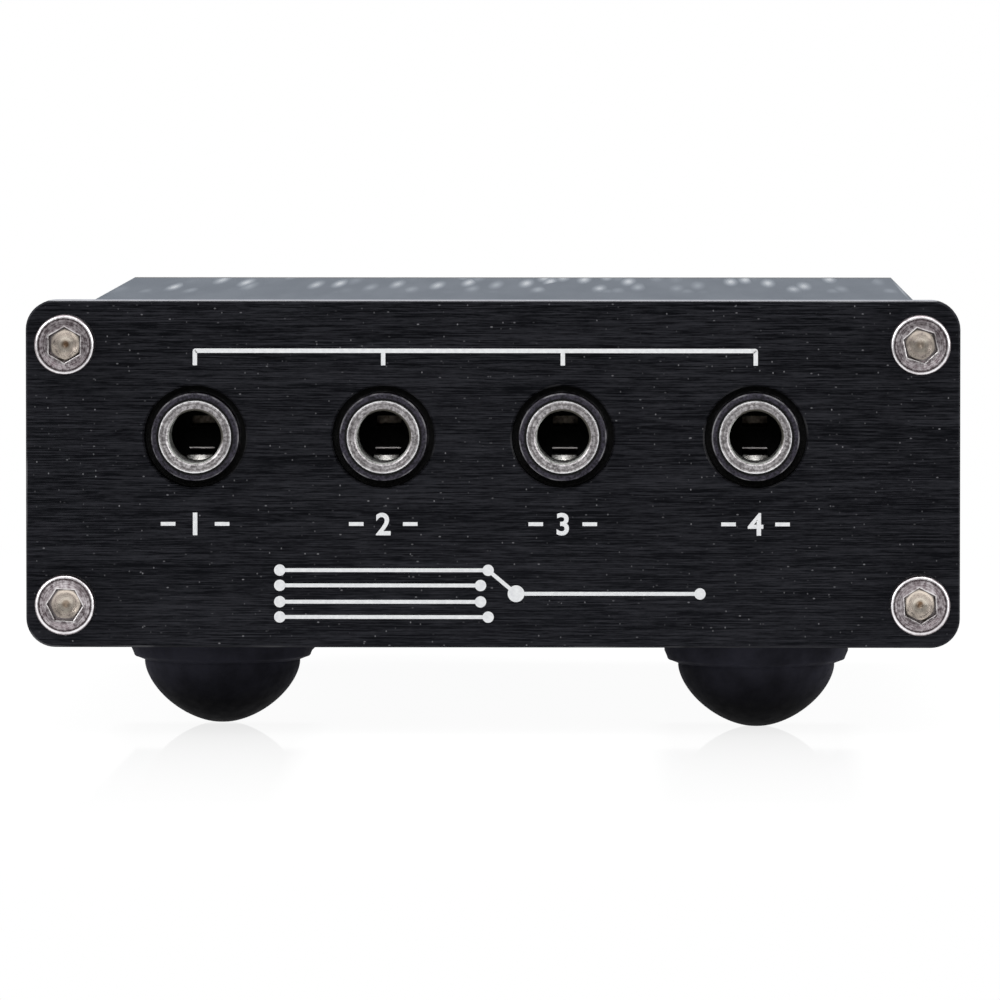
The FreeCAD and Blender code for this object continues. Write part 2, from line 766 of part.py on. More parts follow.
def switch_body():
    """The switch's moulded body, notched inside where the balls run."""
    body = rod(body_diameter, stator_bottom, flange_start)
    body = body.cut(rod(2 * chamber_radius, stator_bottom, chamber_start))
    body = body.cut(rod(2 * ridge_radius, chamber_start, flange_start))
    notch_radius = ball_diameter / 2 + notch_gap
    reach = ridge_radius + notch_depth - notch_radius
    for k in range(round(360 / position_step)):
        angle = math.radians(position_step * k)
        body = body.cut(rod(2 * notch_radius, chamber_start, flange_start,
                            reach * math.sin(angle), reach * math.cos(angle)))
    return on_switch(body)


def rotor():
    """The insulating rotor on the shaft's tail, which carries the wipers."""
    body = bevel(rod(rotor_diameter, rotor_start, rotor_end), turned_edge, rotor_end)
    return body.cut(rod(shaft_tail_diameter + 2 * part_fit, rotor_start, rotor_end))


def wipers():
    """Two springy bridges, each from a common plate to one throw."""
    small, large = wiper_foot
    made = []
    for side in (1, -1):
        z0, z1 = sorted((side * (common_radius - large), side * (contact_radius + contact_inset)))
        bridge = block(-wiper_width / 2, wiper_width / 2, rotor_start - wiper_thickness, rotor_start, z0, z1)
        for radius in (common_radius, contact_radius):
            bridge = bridge.fuse(Part.makeCone(small, large, wiper_thickness,
                                               Vector(0, wiper_start, side * radius), along_y))
        made.append(bridge)
    return made


def switch_stator():
    """The wafer with the contacts, which is also the shaft's inner bearing."""
    y0, y1 = stator_bottom, stator_top
    wafer = rod(2 * (chamber_radius - stator_gap), y0, y1, switch_x, switch_z)
    wafer = wafer.cut(rod(shaft_tail_diameter + 2 * running_gap, y0, y1, switch_x, switch_z))
    side = terminal_width / 2 + part_fit
    for angle, radius in terminal_places():
        x, z = around(radius, angle)
        wafer = wafer.cut(block(x - side, x + side, y0, y1, z - side, z + side))
    for x, z in rivet_places():
        wafer = wafer.cut(rod(rivet_diameter + 2 * part_fit, y0, y1, x, z))
    return wafer


def common_plate(pole):
    """A curved plate that one wiper stays on in every position."""
    plate = Part.makeCylinder(common_radius + common_width / 2, contact_height,
                              Vector(0, stator_top, 0), along_y, common_arc)
    plate = plate.cut(rod(2 * common_radius - common_width, stator_top, contact_top))
    plate.rotate(Vector(0, 0, 0), along_y, pole - plate_middle())
    plate.translate(Vector(switch_x, 0, switch_z))
    return plate


def plate_middle():
    """Where makeCylinder leaves the middle of the arc, as an angle from straight up, towards +X."""
    sample = Part.makeCylinder(1, 1, Vector(0, 0, 0), along_y, common_arc).CenterOfMass
    return math.degrees(math.atan2(sample.x, sample.z))


def switch_terminals():
    """Eight throws and two commons, each with a leg that goes through the switch board."""
    side = terminal_width / 2
    made = []
    for angle, radius in terminal_places():
        x, z = around(radius, angle)
        pin = block(x - side, x + side, switch_board_front - pin_stand_out, stator_top, z - side, z + side)
        if radius == contact_radius:
            head = rod(contact_diameter, stator_top, contact_top, x, z)
        else:
            head = common_plate(angle)
        made.append(pin.fuse(head))
    return made


def switch_rivets():
    """Two rivets hold the wafer and the body against the flange."""
    made = []
    for x, z in rivet_places():
        head = rod(rivet_head_diameter, stator_bottom - rivet_head_height, stator_bottom, x, z)
        made.append(rod(rivet_diameter, stator_bottom, far_inside, x, z).fuse(head))
    return made


def switch_board():
    y0, y1 = switch_board_front, switch_board_front + board_thickness
    half_x = body_diameter / 2 + switch_board_side
    half_z = body_diameter / 2 - switch_board_trim
    board = block(switch_x - half_x, switch_x + half_x, y0, y1, switch_z - half_z, switch_z + half_z)
    side = terminal_width / 2 + leg_hole_gap
    for angle, radius in terminal_places():
        x, z = around(radius, angle)
        board = board.cut(block(x - side, x + side, y0, y1, z - side, z + side))
    for pin in link_pins(leg_hole_gap):
        board = board.cut(pin)
    return board


def rest_turn():
    """At rest the selector is at its first position, turned this far towards +X."""
    return position_step * (positions - 1) / 2


def on_switch(shape):
    """Puts a piece made on the axis x = z = 0, pointer up, on the switch at position 1."""
    placed = shape.copy()
    placed.rotate(Vector(0, 0, 0), along_y, rest_turn())
    placed.translate(Vector(switch_x, 0, switch_z))
    return placed


def set_screw_rod(length, extra=0.0):
    """A rod from the shaft's flat out through the knob's side, opposite the pointer."""
    inner = shaft_diameter / 2 - shaft_flat
    return Part.makeCylinder(set_screw_diameter / 2 + extra, length,
                             Vector(0, set_screw_y, -inner), Vector(0, 0, -1))


def pointer_cut(extra=0.0):
    """The groove for the pointer's inlay: across the face, and down the side to the skirt."""
    half = pointer_width / 2 + extra
    edge = waist_diameter / 2
    face = block(-half, half, knob_end - pointer_depth - extra, knob_end, pointer_start - extra, edge)
    side = block(-half, half, knob_start + knob_skirt_length + pointer_foot - extra, knob_end,
                 edge - pointer_depth - extra, edge)
    return face.fuse(side).removeSplitter()


def knob_blank():
    """The knob's turned outside: a skirt, a waist with a bevelled face."""
    skirt, waist = knob_diameter / 2, waist_diameter / 2
    step = knob_start + knob_skirt_length
    return turned([(0, knob_start), (skirt, knob_start), (skirt, step - knob_skirt_bevel),
                   (skirt - knob_skirt_bevel, step), (waist, step), (waist, knob_end - knob_face_bevel),
                   (waist - knob_face_bevel, knob_end), (0, knob_end)])


def knob():
    body = knob_blank().cut(rod(recess_diameter, knob_start, recess_end))
    body = body.cut(rod(shaft_diameter + 2 * knob_bore_gap, recess_end, bore_end))
    body = body.cut(set_screw_rod(knob_diameter, thread_fit)).cut(pointer_cut(part_fit))
    groove_start = knob_start + knob_skirt_length + grip_margin
    groove_end = knob_end - knob_face_bevel - grip_margin
    reach = waist_diameter / 2 + grip_groove_radius / 3
    grooves = []
    for k in range(grip_grooves):
        if k in (0, grip_grooves // 2):
            continue         # the pointer and the set screw are there
        angle = math.radians(360 / grip_grooves * k)
        grooves.append(rod(2 * grip_groove_radius, groove_start, groove_end,
                           reach * math.sin(angle), reach * math.cos(angle)))
    return body.cut(Part.makeCompound(grooves))


def knob_pointer():
    return pointer_cut().common(knob_blank())


def knob_set_screw():
    """A headless screw from the knob's side down to the flat of the shaft."""
    outer = -(shaft_diameter / 2 - shaft_flat) - set_screw_length
    radius = set_screw_socket / math.sqrt(3)
    angles = [math.radians(60 * k) for k in range(6)]
    corners = [Vector(radius * math.cos(a), set_screw_y + radius * math.sin(a), outer) for a in angles]
    socket = Part.Face(Part.makePolygon(corners + corners[:1])).extrude(Vector(0, 0, set_screw_socket_depth))
    return set_screw_rod(set_screw_length).cut(socket)


def save(name, *solids):
    """Moves a piece to the row frame and writes it."""
    shape = solids[0] if len(solids) == 1 else Part.makeCompound(list(solids))
    shape = shape.copy()
    shape.translate(Vector(0, -depth_middle, middle_height))
    for solid in shape.Solids:
        if not solid.isValid():
            print("not valid:", name)
    print("%-26s %2d solids  %9.2f mm3" % (name, len(shape.Solids), shape.Volume))
    shape.exportStep("parts/%s.step" % name)


def main():
    os.makedirs("parts", exist_ok=True)
    save("top_shell", top_shell())
    save("bottom_shell", bottom_shell())
    save("input_panel", input_panel())
    save("selector_panel", selector_panel())
    save("input_panel_screws", *screws(input_screw_x, input_screw_z, 0, 1))
    save("selector_panel_screws", *screws(far_screw_x, far_screw_z, far_outside, -1))
    for name, x, y in foot_places():
        save("foot_" + name, foot(x, y))
    save("foot_adhesive_discs", *[adhesive_disc(x, y) for _, x, y in foot_places()])
    save("main_board", main_board())
    for name, x, output in jack_table():
        for piece, shape in jack_pieces().items():
            save("%s_jack_%s" % (name, piece), place_jack(shape, x, output))
    save("switch_board", switch_board())
    save("link_header", link_header())
    save("link_pins", *link_pins())
    save("switch_bushing", switch_bushing())
    save("switch_washer", switch_washer())
    save("switch_nut", switch_nut())
    save("switch_body", switch_body())
    save("switch_stator", switch_stator())
    save("switch_terminals", *switch_terminals())
    save("switch_rivets", *switch_rivets())
    save("selector_shaft", on_switch(shaft()))
    save("shaft_clip", on_switch(shaft_clip()))
    save("index_hub", on_switch(index_hub()))
    save("detent_balls", *[on_switch(ball) for ball in detent_balls()])
    save("detent_spring", on_switch(detent_spring()))
    save("switch_rotor", on_switch(rotor()))
    save("switch_wipers", *[on_switch(wiper) for wiper in wipers()])
    save("selector_knob", on_switch(knob()))
    save("knob_pointer", on_switch(knob_pointer()))
    save("knob_set_screw", on_switch(knob_set_screw()))


main()
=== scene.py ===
import math
import bmesh
import bpy
from mathutils import Matrix, Vector


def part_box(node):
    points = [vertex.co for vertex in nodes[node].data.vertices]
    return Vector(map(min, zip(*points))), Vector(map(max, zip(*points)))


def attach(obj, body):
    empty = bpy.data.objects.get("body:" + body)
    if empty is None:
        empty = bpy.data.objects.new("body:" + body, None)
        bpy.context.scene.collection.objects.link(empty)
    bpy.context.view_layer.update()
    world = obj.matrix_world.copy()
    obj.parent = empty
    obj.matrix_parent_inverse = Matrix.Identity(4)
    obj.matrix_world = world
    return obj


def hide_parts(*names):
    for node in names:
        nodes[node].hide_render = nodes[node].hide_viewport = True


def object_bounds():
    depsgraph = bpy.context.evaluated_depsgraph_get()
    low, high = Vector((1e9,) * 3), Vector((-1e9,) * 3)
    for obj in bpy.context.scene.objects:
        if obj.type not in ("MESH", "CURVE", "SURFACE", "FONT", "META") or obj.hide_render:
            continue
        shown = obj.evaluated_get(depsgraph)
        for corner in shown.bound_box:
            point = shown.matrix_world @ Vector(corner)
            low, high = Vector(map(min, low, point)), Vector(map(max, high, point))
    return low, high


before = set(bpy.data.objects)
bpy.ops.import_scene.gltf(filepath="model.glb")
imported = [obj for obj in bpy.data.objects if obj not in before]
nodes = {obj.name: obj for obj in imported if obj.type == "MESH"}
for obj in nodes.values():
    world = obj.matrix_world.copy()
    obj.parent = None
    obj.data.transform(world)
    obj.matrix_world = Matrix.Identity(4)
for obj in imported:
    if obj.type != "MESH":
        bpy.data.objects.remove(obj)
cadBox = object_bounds()
mm = 0.001
scene = bpy.context.scene
scene.view_settings.view_transform = "Standard"
print("frame:", len(nodes), "nodes")


def inMetres(values):
    return [value * mm for value in values]


def middleOf(nodeName):
    low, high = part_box(nodeName)
    return (low + high) / 2


def placed(name, data):
    thing = bpy.data.objects.new(name, data)
    scene.collection.objects.link(thing)
    return thing


def meshFrom(thing):
    # the finished mesh of an object that is there only to make it
    evaluated = thing.evaluated_get(bpy.context.evaluated_depsgraph_get())
    mesh = bpy.data.meshes.new_from_object(evaluated)
    bpy.data.objects.remove(thing)
    return mesh


# camera, in millimetres of the object's frame
camera = {
    "standsAt": (14.2, -785.0, 52.8),
    "looksAt": (0.5, -45.0, 16.13),
    "lens": 389.5,
    "sensor": 36.0,
    "nearest": 20.0,
    "farthest": 20000.0,
}


def aim(thing, place, target):
    thing.location = place
    thing.rotation_euler = (target - place).to_track_quat("-Z", "Y").to_euler()


def makeCamera(sizes):
    data = bpy.data.cameras.new("camera")
    data.lens = sizes["lens"]
    data.sensor_width = sizes["sensor"]
    data.clip_start = sizes["nearest"] * mm
    data.clip_end = sizes["farthest"] * mm
    viewer = placed("camera", data)
    aim(viewer, Vector(sizes["standsAt"]) * mm, Vector(sizes["looksAt"]) * mm)
    scene.camera = viewer


makeCamera(camera)
print("camera placed")


# small helpers for node trees

def addNode(tree, kind, inputs=None, **settings):
    made = tree.nodes.new(kind)
    for name, value in settings.items():
        setattr(made, name, value)
    for name, value in (inputs or {}).items():
        socket = made.inputs[name]
        if isinstance(value, bpy.types.NodeSocket):
            tree.links.new(value, socket)
        else:
            socket.default_value = value
    return made


def outOf(tree, kind, inputs=None, **settings):
    return addNode(tree, kind, inputs, **settings).outputs[0]


def calc(tree, operation, a, b=0.0, clamp=False):
    return outOf(tree, "ShaderNodeMath", {0: a, 1: b}, operation=operation, use_clamp=clamp)


def times(tree, first, *others):
    for value in others:
        first = calc(tree, "MULTIPLY", first, value)
    return first


def vectorCalc(tree, operation, *values):
    made = addNode(tree, "ShaderNodeVectorMath", dict(enumerate(values)), operation=operation)
    return made.outputs["Value" if operation in ("LENGTH", "DOT_PRODUCT") else "Vector"]


def alongAxis(tree, vector, axis):
    return addNode(tree, "ShaderNodeSeparateXYZ", {0: vector}).outputs[axis]


def objectPlace(tree):
    return addNode(tree, "ShaderNodeTexCoord").outputs["Object"]


def blendOf(tree, parts):
    # the sum of values, each with its share
    total = None
    for value, share in parts:
        part = times(tree, value, share)
        total = part if total is None else calc(tree, "ADD", total, part)
    return total


def remap(tree, value, low, high, toLow=0.0, toHigh=1.0):
    inputs = {"Value": value, "From Min": low, "From Max": high, "To Min": toLow, "To Max": toHigh}
    return outOf(tree, "ShaderNodeMapRange", inputs)


def tint(tree, factor, first, second):
    # the mix node's colours have no names of their own, only numbers
    ends = [(*end, 1) if isinstance(end, tuple) else end for end in (first, second)]
    return addNode(tree, "ShaderNodeMix", {0: factor, 6: ends[0], 7: ends[1]}, data_type="RGBA").outputs[2]


# studio: a white room, soft lamps, and cards that only reflections see
studio = {
    "floorSide": 8000.0,
    "floorGrey": 0.8,
    "skyLight": 0.5,  # of the world on the object; it shows as white
    "shadowShare": 0.08,  # how much of a shadow the white floor shows near the object
    "shadowCost": 0.5,  # of the floor's own white that makes room for it
    "shadowReach": 160.0,
    "polish": 0.165,  # of the floor before each front foot, which mirrors it
    "polishRoughness": 0.03,
    "polishFrom": (-31.0, -35.0),  # where it begins, and from where it is full
    "polishFades": (-141.0, -36.0),
    "polishWidth": (7.8, 5.6),  # from the middle of a foot
    "footprint": (25.0, 36.0),  # half sizes of the patch where the feet stand
    "lamps": {  # place, size, watts
        "leftSoftbox": ((-1100.0, -450.0, 800.0), 1000.0, 10.0),
        "rightSoftbox": ((1100.0, -350.0, 500.0), 900.0, 6.0),
        "topSoftbox": ((100.0, 200.0, 1300.0), 1200.0, 10.0),
    },
    "cards": {  # lowest and highest corner, glow
        "frontCard": ((-1500.0, -1500.0, -50.0), (1500.0, -1500.0, 1500.0), 0.28),
        "apronCard": ((-1500.0, -1500.0, 0.3), (1500.0, -100.0, 0.3), 0.28),
        "glintCard": ((-130.0, -1450.0, 200.0), (70.0, -1450.0, 400.0), 6.5),
    },
}


def whiteRays(tree):
    # 1 for the rays that find a white room
    rays = addNode(tree, "ShaderNodeLightPath").outputs
    seen = calc(tree, "ADD", rays["Is Camera Ray"], rays["Is Glossy Ray"], clamp=True)
    return calc(tree, "ADD", seen, rays["Is Transmission Ray"], clamp=True)


def mixShader(tree, factor, first, second):
    return outOf(tree, "ShaderNodeMixShader", {0: factor, 1: first, 2: second})


def bareMaterial(name):
    material = bpy.data.materials.new(name)
    material.use_nodes = True
    material.node_tree.nodes.clear()
    return material, material.node_tree


def makeSky(sizes):
    world = bpy.data.worlds.new("studio")
    world.use_nodes = True
    scene.world = world
    tree = world.node_tree
    strength = remap(tree, whiteRays(tree), 0.0, 1.0, sizes["skyLight"])
    background = tree.nodes["Background"]
    background.inputs["Color"].default_value = (1, 1, 1, 1)
    tree.links.new(strength, background.inputs["Strength"])


def closeness(tree, sizes):
    # 1 under the object, falling to 0 as far from the feet's patch as a shadow reaches
    place = vectorCalc(tree, "ABSOLUTE", objectPlace(tree))
    away = vectorCalc(tree, "SUBTRACT", place, (*inMetres(sizes["footprint"]), 0))
    away = vectorCalc(tree, "LENGTH", vectorCalc(tree, "MAXIMUM", away, (0, 0, 0)))
    near = remap(tree, away, sizes["shadowReach"] * mm, 0.0)
    return times(tree, near, near)


def mirrorPatch(tree, sizes):
    # 1 in front of each front foot, falling to 0 towards the viewer and beside it
    place = objectPlace(tree)
    y = alongAxis(tree, place, "Y")
    off = []
    for node in ("foot_front_left", "foot_front_right"):
        beside = calc(tree, "SUBTRACT", alongAxis(tree, place, "X"), middleOf(node).x)
        off.append(calc(tree, "ABSOLUTE", beside))
    aside = remap(tree, calc(tree, "MINIMUM", *off), *inMetres(sizes["polishWidth"]))
    begins = remap(tree, y, *inMetres(sizes["polishFrom"]))
    fade = remap(tree, y, *inMetres(sizes["polishFades"]))
    return times(tree, aside, begins, fade, fade)


def floorMaterial(sizes):
    # white to the eye, with a share of the shadow and of the mirror image near the object
    material, tree = bareMaterial("palePaper")
    grey = sizes["floorGrey"]
    plain = outOf(tree, "ShaderNodeBsdfDiffuse", {"Color": (grey, grey, grey, 1)})
    share = times(tree, closeness(tree, sizes), sizes["shadowShare"])
    left = calc(tree, "SUBTRACT", 1.0, times(tree, share, sizes["shadowCost"]))
    white = outOf(tree, "ShaderNodeEmission", {"Strength": left})
    nothing = outOf(tree, "ShaderNodeBsdfDiffuse", {"Color": (0, 0, 0, 1)})
    shaded = mixShader(tree, share, nothing, plain)
    shown = outOf(tree, "ShaderNodeAddShader", {0: white, 1: shaded})
    gloss = outOf(tree, "ShaderNodeBsdfGlossy", {"Roughness": sizes["polishRoughness"]})
    polish = times(tree, mirrorPatch(tree, sizes), sizes["polish"])
    shown = mixShader(tree, polish, shown, gloss)
    final = mixShader(tree, whiteRays(tree), plain, shown)
    addNode(tree, "ShaderNodeOutputMaterial", {"Surface": final})
    return material


def flatSheet(name, low, high):
    # a rectangle between two corners that share one coordinate
    x0, y0, z0 = inMetres(low)
    x1, y1, z1 = inMetres(high)
    corners = [(x0, y0, z0), (x1, y0, z0), (x1, y1, z1), (x0, y1, z1)]
    mesh = bpy.data.meshes.new(name)
    mesh.from_pydata(corners, [], [(0, 1, 2, 3)])
    sheet = placed(name, mesh)
    return sheet


def makeCards(sizes):
    for name, (low, high, glow) in sizes["cards"].items():
        material, tree = bareMaterial(name)
        light = outOf(tree, "ShaderNodeEmission", {"Strength": glow})
        addNode(tree, "ShaderNodeOutputMaterial", {"Surface": light})
        card = flatSheet(name, low, high)
        card.data.materials.append(material)
        for ray in ("camera", "diffuse", "transmission", "volume_scatter", "shadow"):
            setattr(card, "visible_" + ray, False)


def makeStudio(sizes):
    makeSky(sizes)
    half = sizes["floorSide"] / 2
    floor = flatSheet("floor", (-half, -half, 0), (half, half, 0))
    floor.data.materials.append(floorMaterial(sizes))
    makeCards(sizes)
    for name, (place, size, watts) in sizes["lamps"].items():
        data = bpy.data.lights.new(name, "AREA")
        data.size = size * mm
        data.energy = watts
        aim(placed(name, data), Vector(place) * mm, (cadBox[0] + cadBox[1]) / 2)


makeStudio(studio)
print("studio lit")


# finishes: every pattern is in millimetres of the object's own coordinates

def inMillimetres(tree, centre=(0.0, 0.0, 0.0), stretch=(1.0, 1.0, 1.0)):
    scale = tuple(1 / (mm * s) for s in stretch)
    start = tuple(-c * s for c, s in zip(centre, scale))
    inputs = {"Vector": objectPlace(tree), "Location": start, "Scale": scale}
    return outOf(tree, "ShaderNodeMapping", inputs)


def grain(tree, place, size=1.0, detail=2.0, roughness=0.55):
    inputs = {"Vector": place, "Scale": 1 / size, "Detail": detail, "Roughness": roughness}
    return outOf(tree, "ShaderNodeTexNoise", inputs)


def streaks(tree, length, width, detail=2.0):
    # lines along X, this long and this far apart
    return grain(tree, inMillimetres(tree, stretch=(length, length, width)), 1.0, detail)


def roundSpots(tree, place, rim, full, share, boldest=1.0):
    # one round spot in each unit of a plane, of which a share shows, the boldest in full
    inputs = {"Vector": place, "Scale": 1.0}
    cells = addNode(tree, "ShaderNodeTexVoronoi", inputs, voronoi_dimensions="2D").outputs
    chance = outOf(tree, "ShaderNodeSeparateColor", {0: cells["Color"]})
    return times(tree, remap(tree, cells["Distance"], rim, full), remap(tree, chance, 1 - share, boldest))


def flecks(tree, stretch, rim, full, share):
    # specks over X and Z, about one in each square millimetre
    place = inMillimetres(tree, stretch=(stretch, 1.0, 1.0))
    inputs = {0: alongAxis(tree, place, "X"), 1: alongAxis(tree, place, "Z")}
    flat = outOf(tree, "ShaderNodeCombineXYZ", inputs)
    return roundSpots(tree, flat, rim, full, share)


def awayFrom(tree, axis):
    # distance in millimetres from an axis along Y through this place
    across = vectorCalc(tree, "MULTIPLY", inMillimetres(tree, centre=axis), (1, 0, 1))
    return vectorCalc(tree, "LENGTH", across)


def ringNoise(tree, radius, size, detail):
    inputs = {"W": radius, "Scale": 1 / size, "Detail": detail}
    return outOf(tree, "ShaderNodeTexNoise", inputs, noise_dimensions="1D")


wholeSurface = {"metallic": "Metallic", "specular": "Specular IOR Level", "sheen": "Specular Tint"}


def newFinish(name, sizes):
    material = bpy.data.materials.new(name)
    material.use_nodes = True
    tree = material.node_tree
    shader = tree.nodes["Principled BSDF"]
    for label, socket in wholeSurface.items():
        if label in sizes:
            value = sizes[label]
            shader.inputs[socket].default_value = (*value, 1) if isinstance(value, tuple) else value
    return material, tree, shader


def surface(tree, shader, colour, roughness, height, depth):
    tree.links.new(colour, shader.inputs["Base Color"])
    tree.links.new(roughness, shader.inputs["Roughness"])
    inputs = {"Height": height, "Strength": 1.0, "Distance": depth * mm}
    tree.links.new(outOf(tree, "ShaderNodeBump", inputs), shader.inputs["Normal"])


def faceNormal(tree):
    return addNode(tree, "ShaderNodeNewGeometry").outputs["True Normal"]


def mottled(tree, noise, contrast, sizes):
    return tint(tree, remap(tree, noise, *contrast), sizes["spots"], sizes["colour"])


# the parts of a noise's values that a finish spreads over its own range
wideSpread = (0.3, 0.7)
narrowSpread = (0.36, 0.64)


def noisySurface(tree, shader, colour, noise, sizes, spread=wideSpread):
    # one noise for the gloss and the lumps
    rough = remap(tree, noise, *spread, *sizes["roughness"])
    surface(tree, shader, colour, rough, noise, sizes["height"])


# black anodised plate, brushed along X, with its edges rubbed bright and a painted highlight along the taller
# plate's top
brushedBlack = {
    "specular": 0.13,
    "sheen": (0.75, 0.8, 1.0),
    "dark": (0.0001, 0.0001, 0.0002),
    "pale": (0.0205, 0.0205, 0.024),
    "lines": (  # length, width, share
        (1.7, 0.05, 0.42),
        (9.0, 0.1, 0.3),
        (30.0, 0.9, 0.14),
        (0.4, 0.07, 0.14),
    ),
    "contrast": (0.445, 0.59),
    "roughness": (0.34, 0.54),
    "scratchDepth": 0.01,
    "fleckColour": (0.19, 0.19, 0.2),
    "dots": (0.8, 0.075, 0.03, 0.4),  # stretch along X, radius of the rim, where full, share
    "dashes": (1.7, 0.06, 0.024, 0.5),
    "fleckPatch": (4.0, 1.3),  # length and width of the places where they gather
    "fleckCrowd": (0.44, 0.6, 0.25),  # how few these places are, and what shows elsewhere
    "plateFaces": (0.9, 0.95),  # how far along Y a face points that has flecks: from, full
    "bevelFaces": (0.707, 0.2, 0.1),  # how far an edge does, and off by how much: from, full
    "edgeColour": (0.34, 0.34, 0.35),
    "edgeWear": 0.16,
    "edgePatch": (4.0, 0.6, 0.72),  # size of the rubbed stretches, and how few they are
    "topWear": (0.05, 0.7),  # thickness and share of the taller plate's upper side, made bare and pale as a painted highlight
}


def makeBrushedBlack(sizes):
    material, tree, shader = newFinish("brushedBlack", sizes)
    layers = [(streaks(tree, length, width), share) for length, width, share in sizes["lines"]]
    lines = blendOf(tree, layers)
    colour = tint(tree, remap(tree, lines, *sizes["contrast"]), sizes["dark"], sizes["pale"])
    facing = calc(tree, "ABSOLUTE", alongAxis(tree, faceNormal(tree), "Y"))
    marks = calc(tree, "MAXIMUM", flecks(tree, *sizes["dots"]), flecks(tree, *sizes["dashes"]))
    crowd = remap(tree, streaks(tree, *sizes["fleckPatch"], 1.0), *sizes["fleckCrowd"])
    marks = times(tree, marks, remap(tree, facing, *sizes["plateFaces"]), crowd)
    colour = tint(tree, marks, colour, sizes["fleckColour"])
    slant, outside, inside = sizes["bevelFaces"]
    bevelled = remap(tree, calc(tree, "ABSOLUTE", calc(tree, "SUBTRACT", facing, slant)), outside, inside)
    patch, few, many = sizes["edgePatch"]
    rubbed = remap(tree, grain(tree, inMillimetres(tree), patch, 1.0), few, many, 0.0, sizes["edgeWear"])
    # painted highlight: the upper side of the taller plate is made bare and pale
    skin, topWear = sizes["topWear"]
    height = alongAxis(tree, inMillimetres(tree), "Z")
    onTop = calc(tree, "GREATER_THAN", height, cadBox[1].z / mm - skin)
    wearAndTopSheen = calc(tree, "MAXIMUM", times(tree, bevelled, rubbed), times(tree, onTop, topWear))
    colour = tint(tree, wearAndTopSheen, colour, sizes["edgeColour"])
    tree.links.new(wearAndTopSheen, shader.inputs["Metallic"])
    roughness = remap(tree, layers[0][0], *wideSpread, *sizes["roughness"])
    surface(tree, shader, colour, roughness, lines, sizes["scratchDepth"])
    return material


# blasted and anodised extrusion, with faint die lines along Y
blastedCase = {
    "specular": 0.5,
    "sheen": (0.7, 0.83, 1.0),
    "metallic": 0.6,
    "dark": (0.034, 0.035, 0.04),
    "pale": (0.042, 0.043, 0.048),
    "dieLine": (3.0, 30.0),  # width and length
    "lineShare": 0.65,  # of the colour; the pits have the rest
    "glintPitch": (1.5, 30.0),  # along X and Y
    "glints": (0.42, 0.06, 0.9, 0.6),  # rim, where full, share of places that have one, boldest
    "glintsFrom": (-6.0, 6.0),
    "glintSlant": (0.88, 0.94),  # only a very slanting look shows them
    "glintRoughness": 0.17,
    "roughness": (0.505, 0.475),
    "pitSize": 0.16,
    "pitDepth": 0.008,
}


def makeBlastedCase(sizes):
    material, tree, shader = newFinish("blastedCase", sizes)
    width, length = sizes["dieLine"]
    lines = grain(tree, inMillimetres(tree, stretch=(width, length, width)), 1.0, 2.0, 0.6)
    pits = grain(tree, inMillimetres(tree), sizes["pitSize"], 1.0)
    mixed = blendOf(tree, [(lines, sizes["lineShare"]), (pits, 1 - sizes["lineShare"])])
    colour = tint(tree, remap(tree, mixed, *wideSpread), sizes["dark"], sizes["pale"])
    glint = roundSpots(tree, inMillimetres(tree, stretch=(*sizes["glintPitch"], 1.0)), *sizes["glints"])
    along = remap(tree, alongAxis(tree, inMillimetres(tree), "Y"), *sizes["glintsFrom"])
    slant = addNode(tree, "ShaderNodeLayerWeight", {"Blend": 0.5}).outputs["Facing"]
    glint = times(tree, glint, along, remap(tree, slant, *sizes["glintSlant"]))
    rough = remap(tree, lines, *narrowSpread, *sizes["roughness"])
    rough = blendOf(tree, [(rough, calc(tree, "SUBTRACT", 1.0, glint)), (glint, sizes["glintRoughness"])])
    surface(tree, shader, colour, rough, pits, sizes["pitDepth"])
    return material


# one row for each finish, in the order of these keys
cloudyKeys = ("metallic", "colour", "spots", "roughness", "lump", "height", "specular")
cloudyFinishes = {
    "contact_metal": (1.0, (0.97, 0.96, 0.93), (0.78, 0.75, 0.71), (0.24, 0.36), 0.22, 0.008, 0.5),
    "dull_metal": (1.0, (0.35, 0.33, 0.325), (0.24, 0.23, 0.225), (0.26, 0.4), 0.3, 0.008, 0.5),
    "tarnished_metal": (1.0, (0.62, 0.54, 0.46), (0.22, 0.18, 0.14), (0.34, 0.5), 0.35, 0.01, 0.5),
    "pin_metal": (1.0, (0.72, 0.7, 0.66), (0.55, 0.53, 0.5), (0.25, 0.42), 0.6, 0.008, 0.5),
    "switch_zinc": (1.0, (0.58, 0.58, 0.59), (0.44, 0.44, 0.46), (0.32, 0.5), 1.2, 0.014, 0.5),
    "switch_steel": (1.0, (0.62, 0.62, 0.63), (0.5, 0.49, 0.48), (0.24, 0.4), 0.8, 0.006, 0.5),
    "shaft_aluminium": (1.0, (0.72, 0.72, 0.73), (0.6, 0.6, 0.62), (0.26, 0.42), 0.7, 0.006, 0.5),
    "adhesive": (0.0, (0.03, 0.03, 0.03), (0.014, 0.014, 0.015), (0.7, 0.9), 0.25, 0.03, 0.3),
    "header_plastic": (0.0, (0.02, 0.02, 0.021), (0.013, 0.013, 0.014), (0.42, 0.58), 0.4, 0.008, 0.5),
    "switch_plastic": (0.0, (0.034, 0.034, 0.036), (0.022, 0.022, 0.024), (0.4, 0.56), 0.5, 0.008, 0.5),
    "switch_wafer": (0.0, (0.3, 0.17, 0.08), (0.2, 0.1, 0.045), (0.46, 0.64), 0.35, 0.01, 0.5),
    "pointer_white": (0.0, (0.84, 0.85, 0.86), (0.74, 0.75, 0.77), (0.46, 0.6), 0.3, 0.004, 0.4),
}
cloudContrast = (0.35, 0.65)


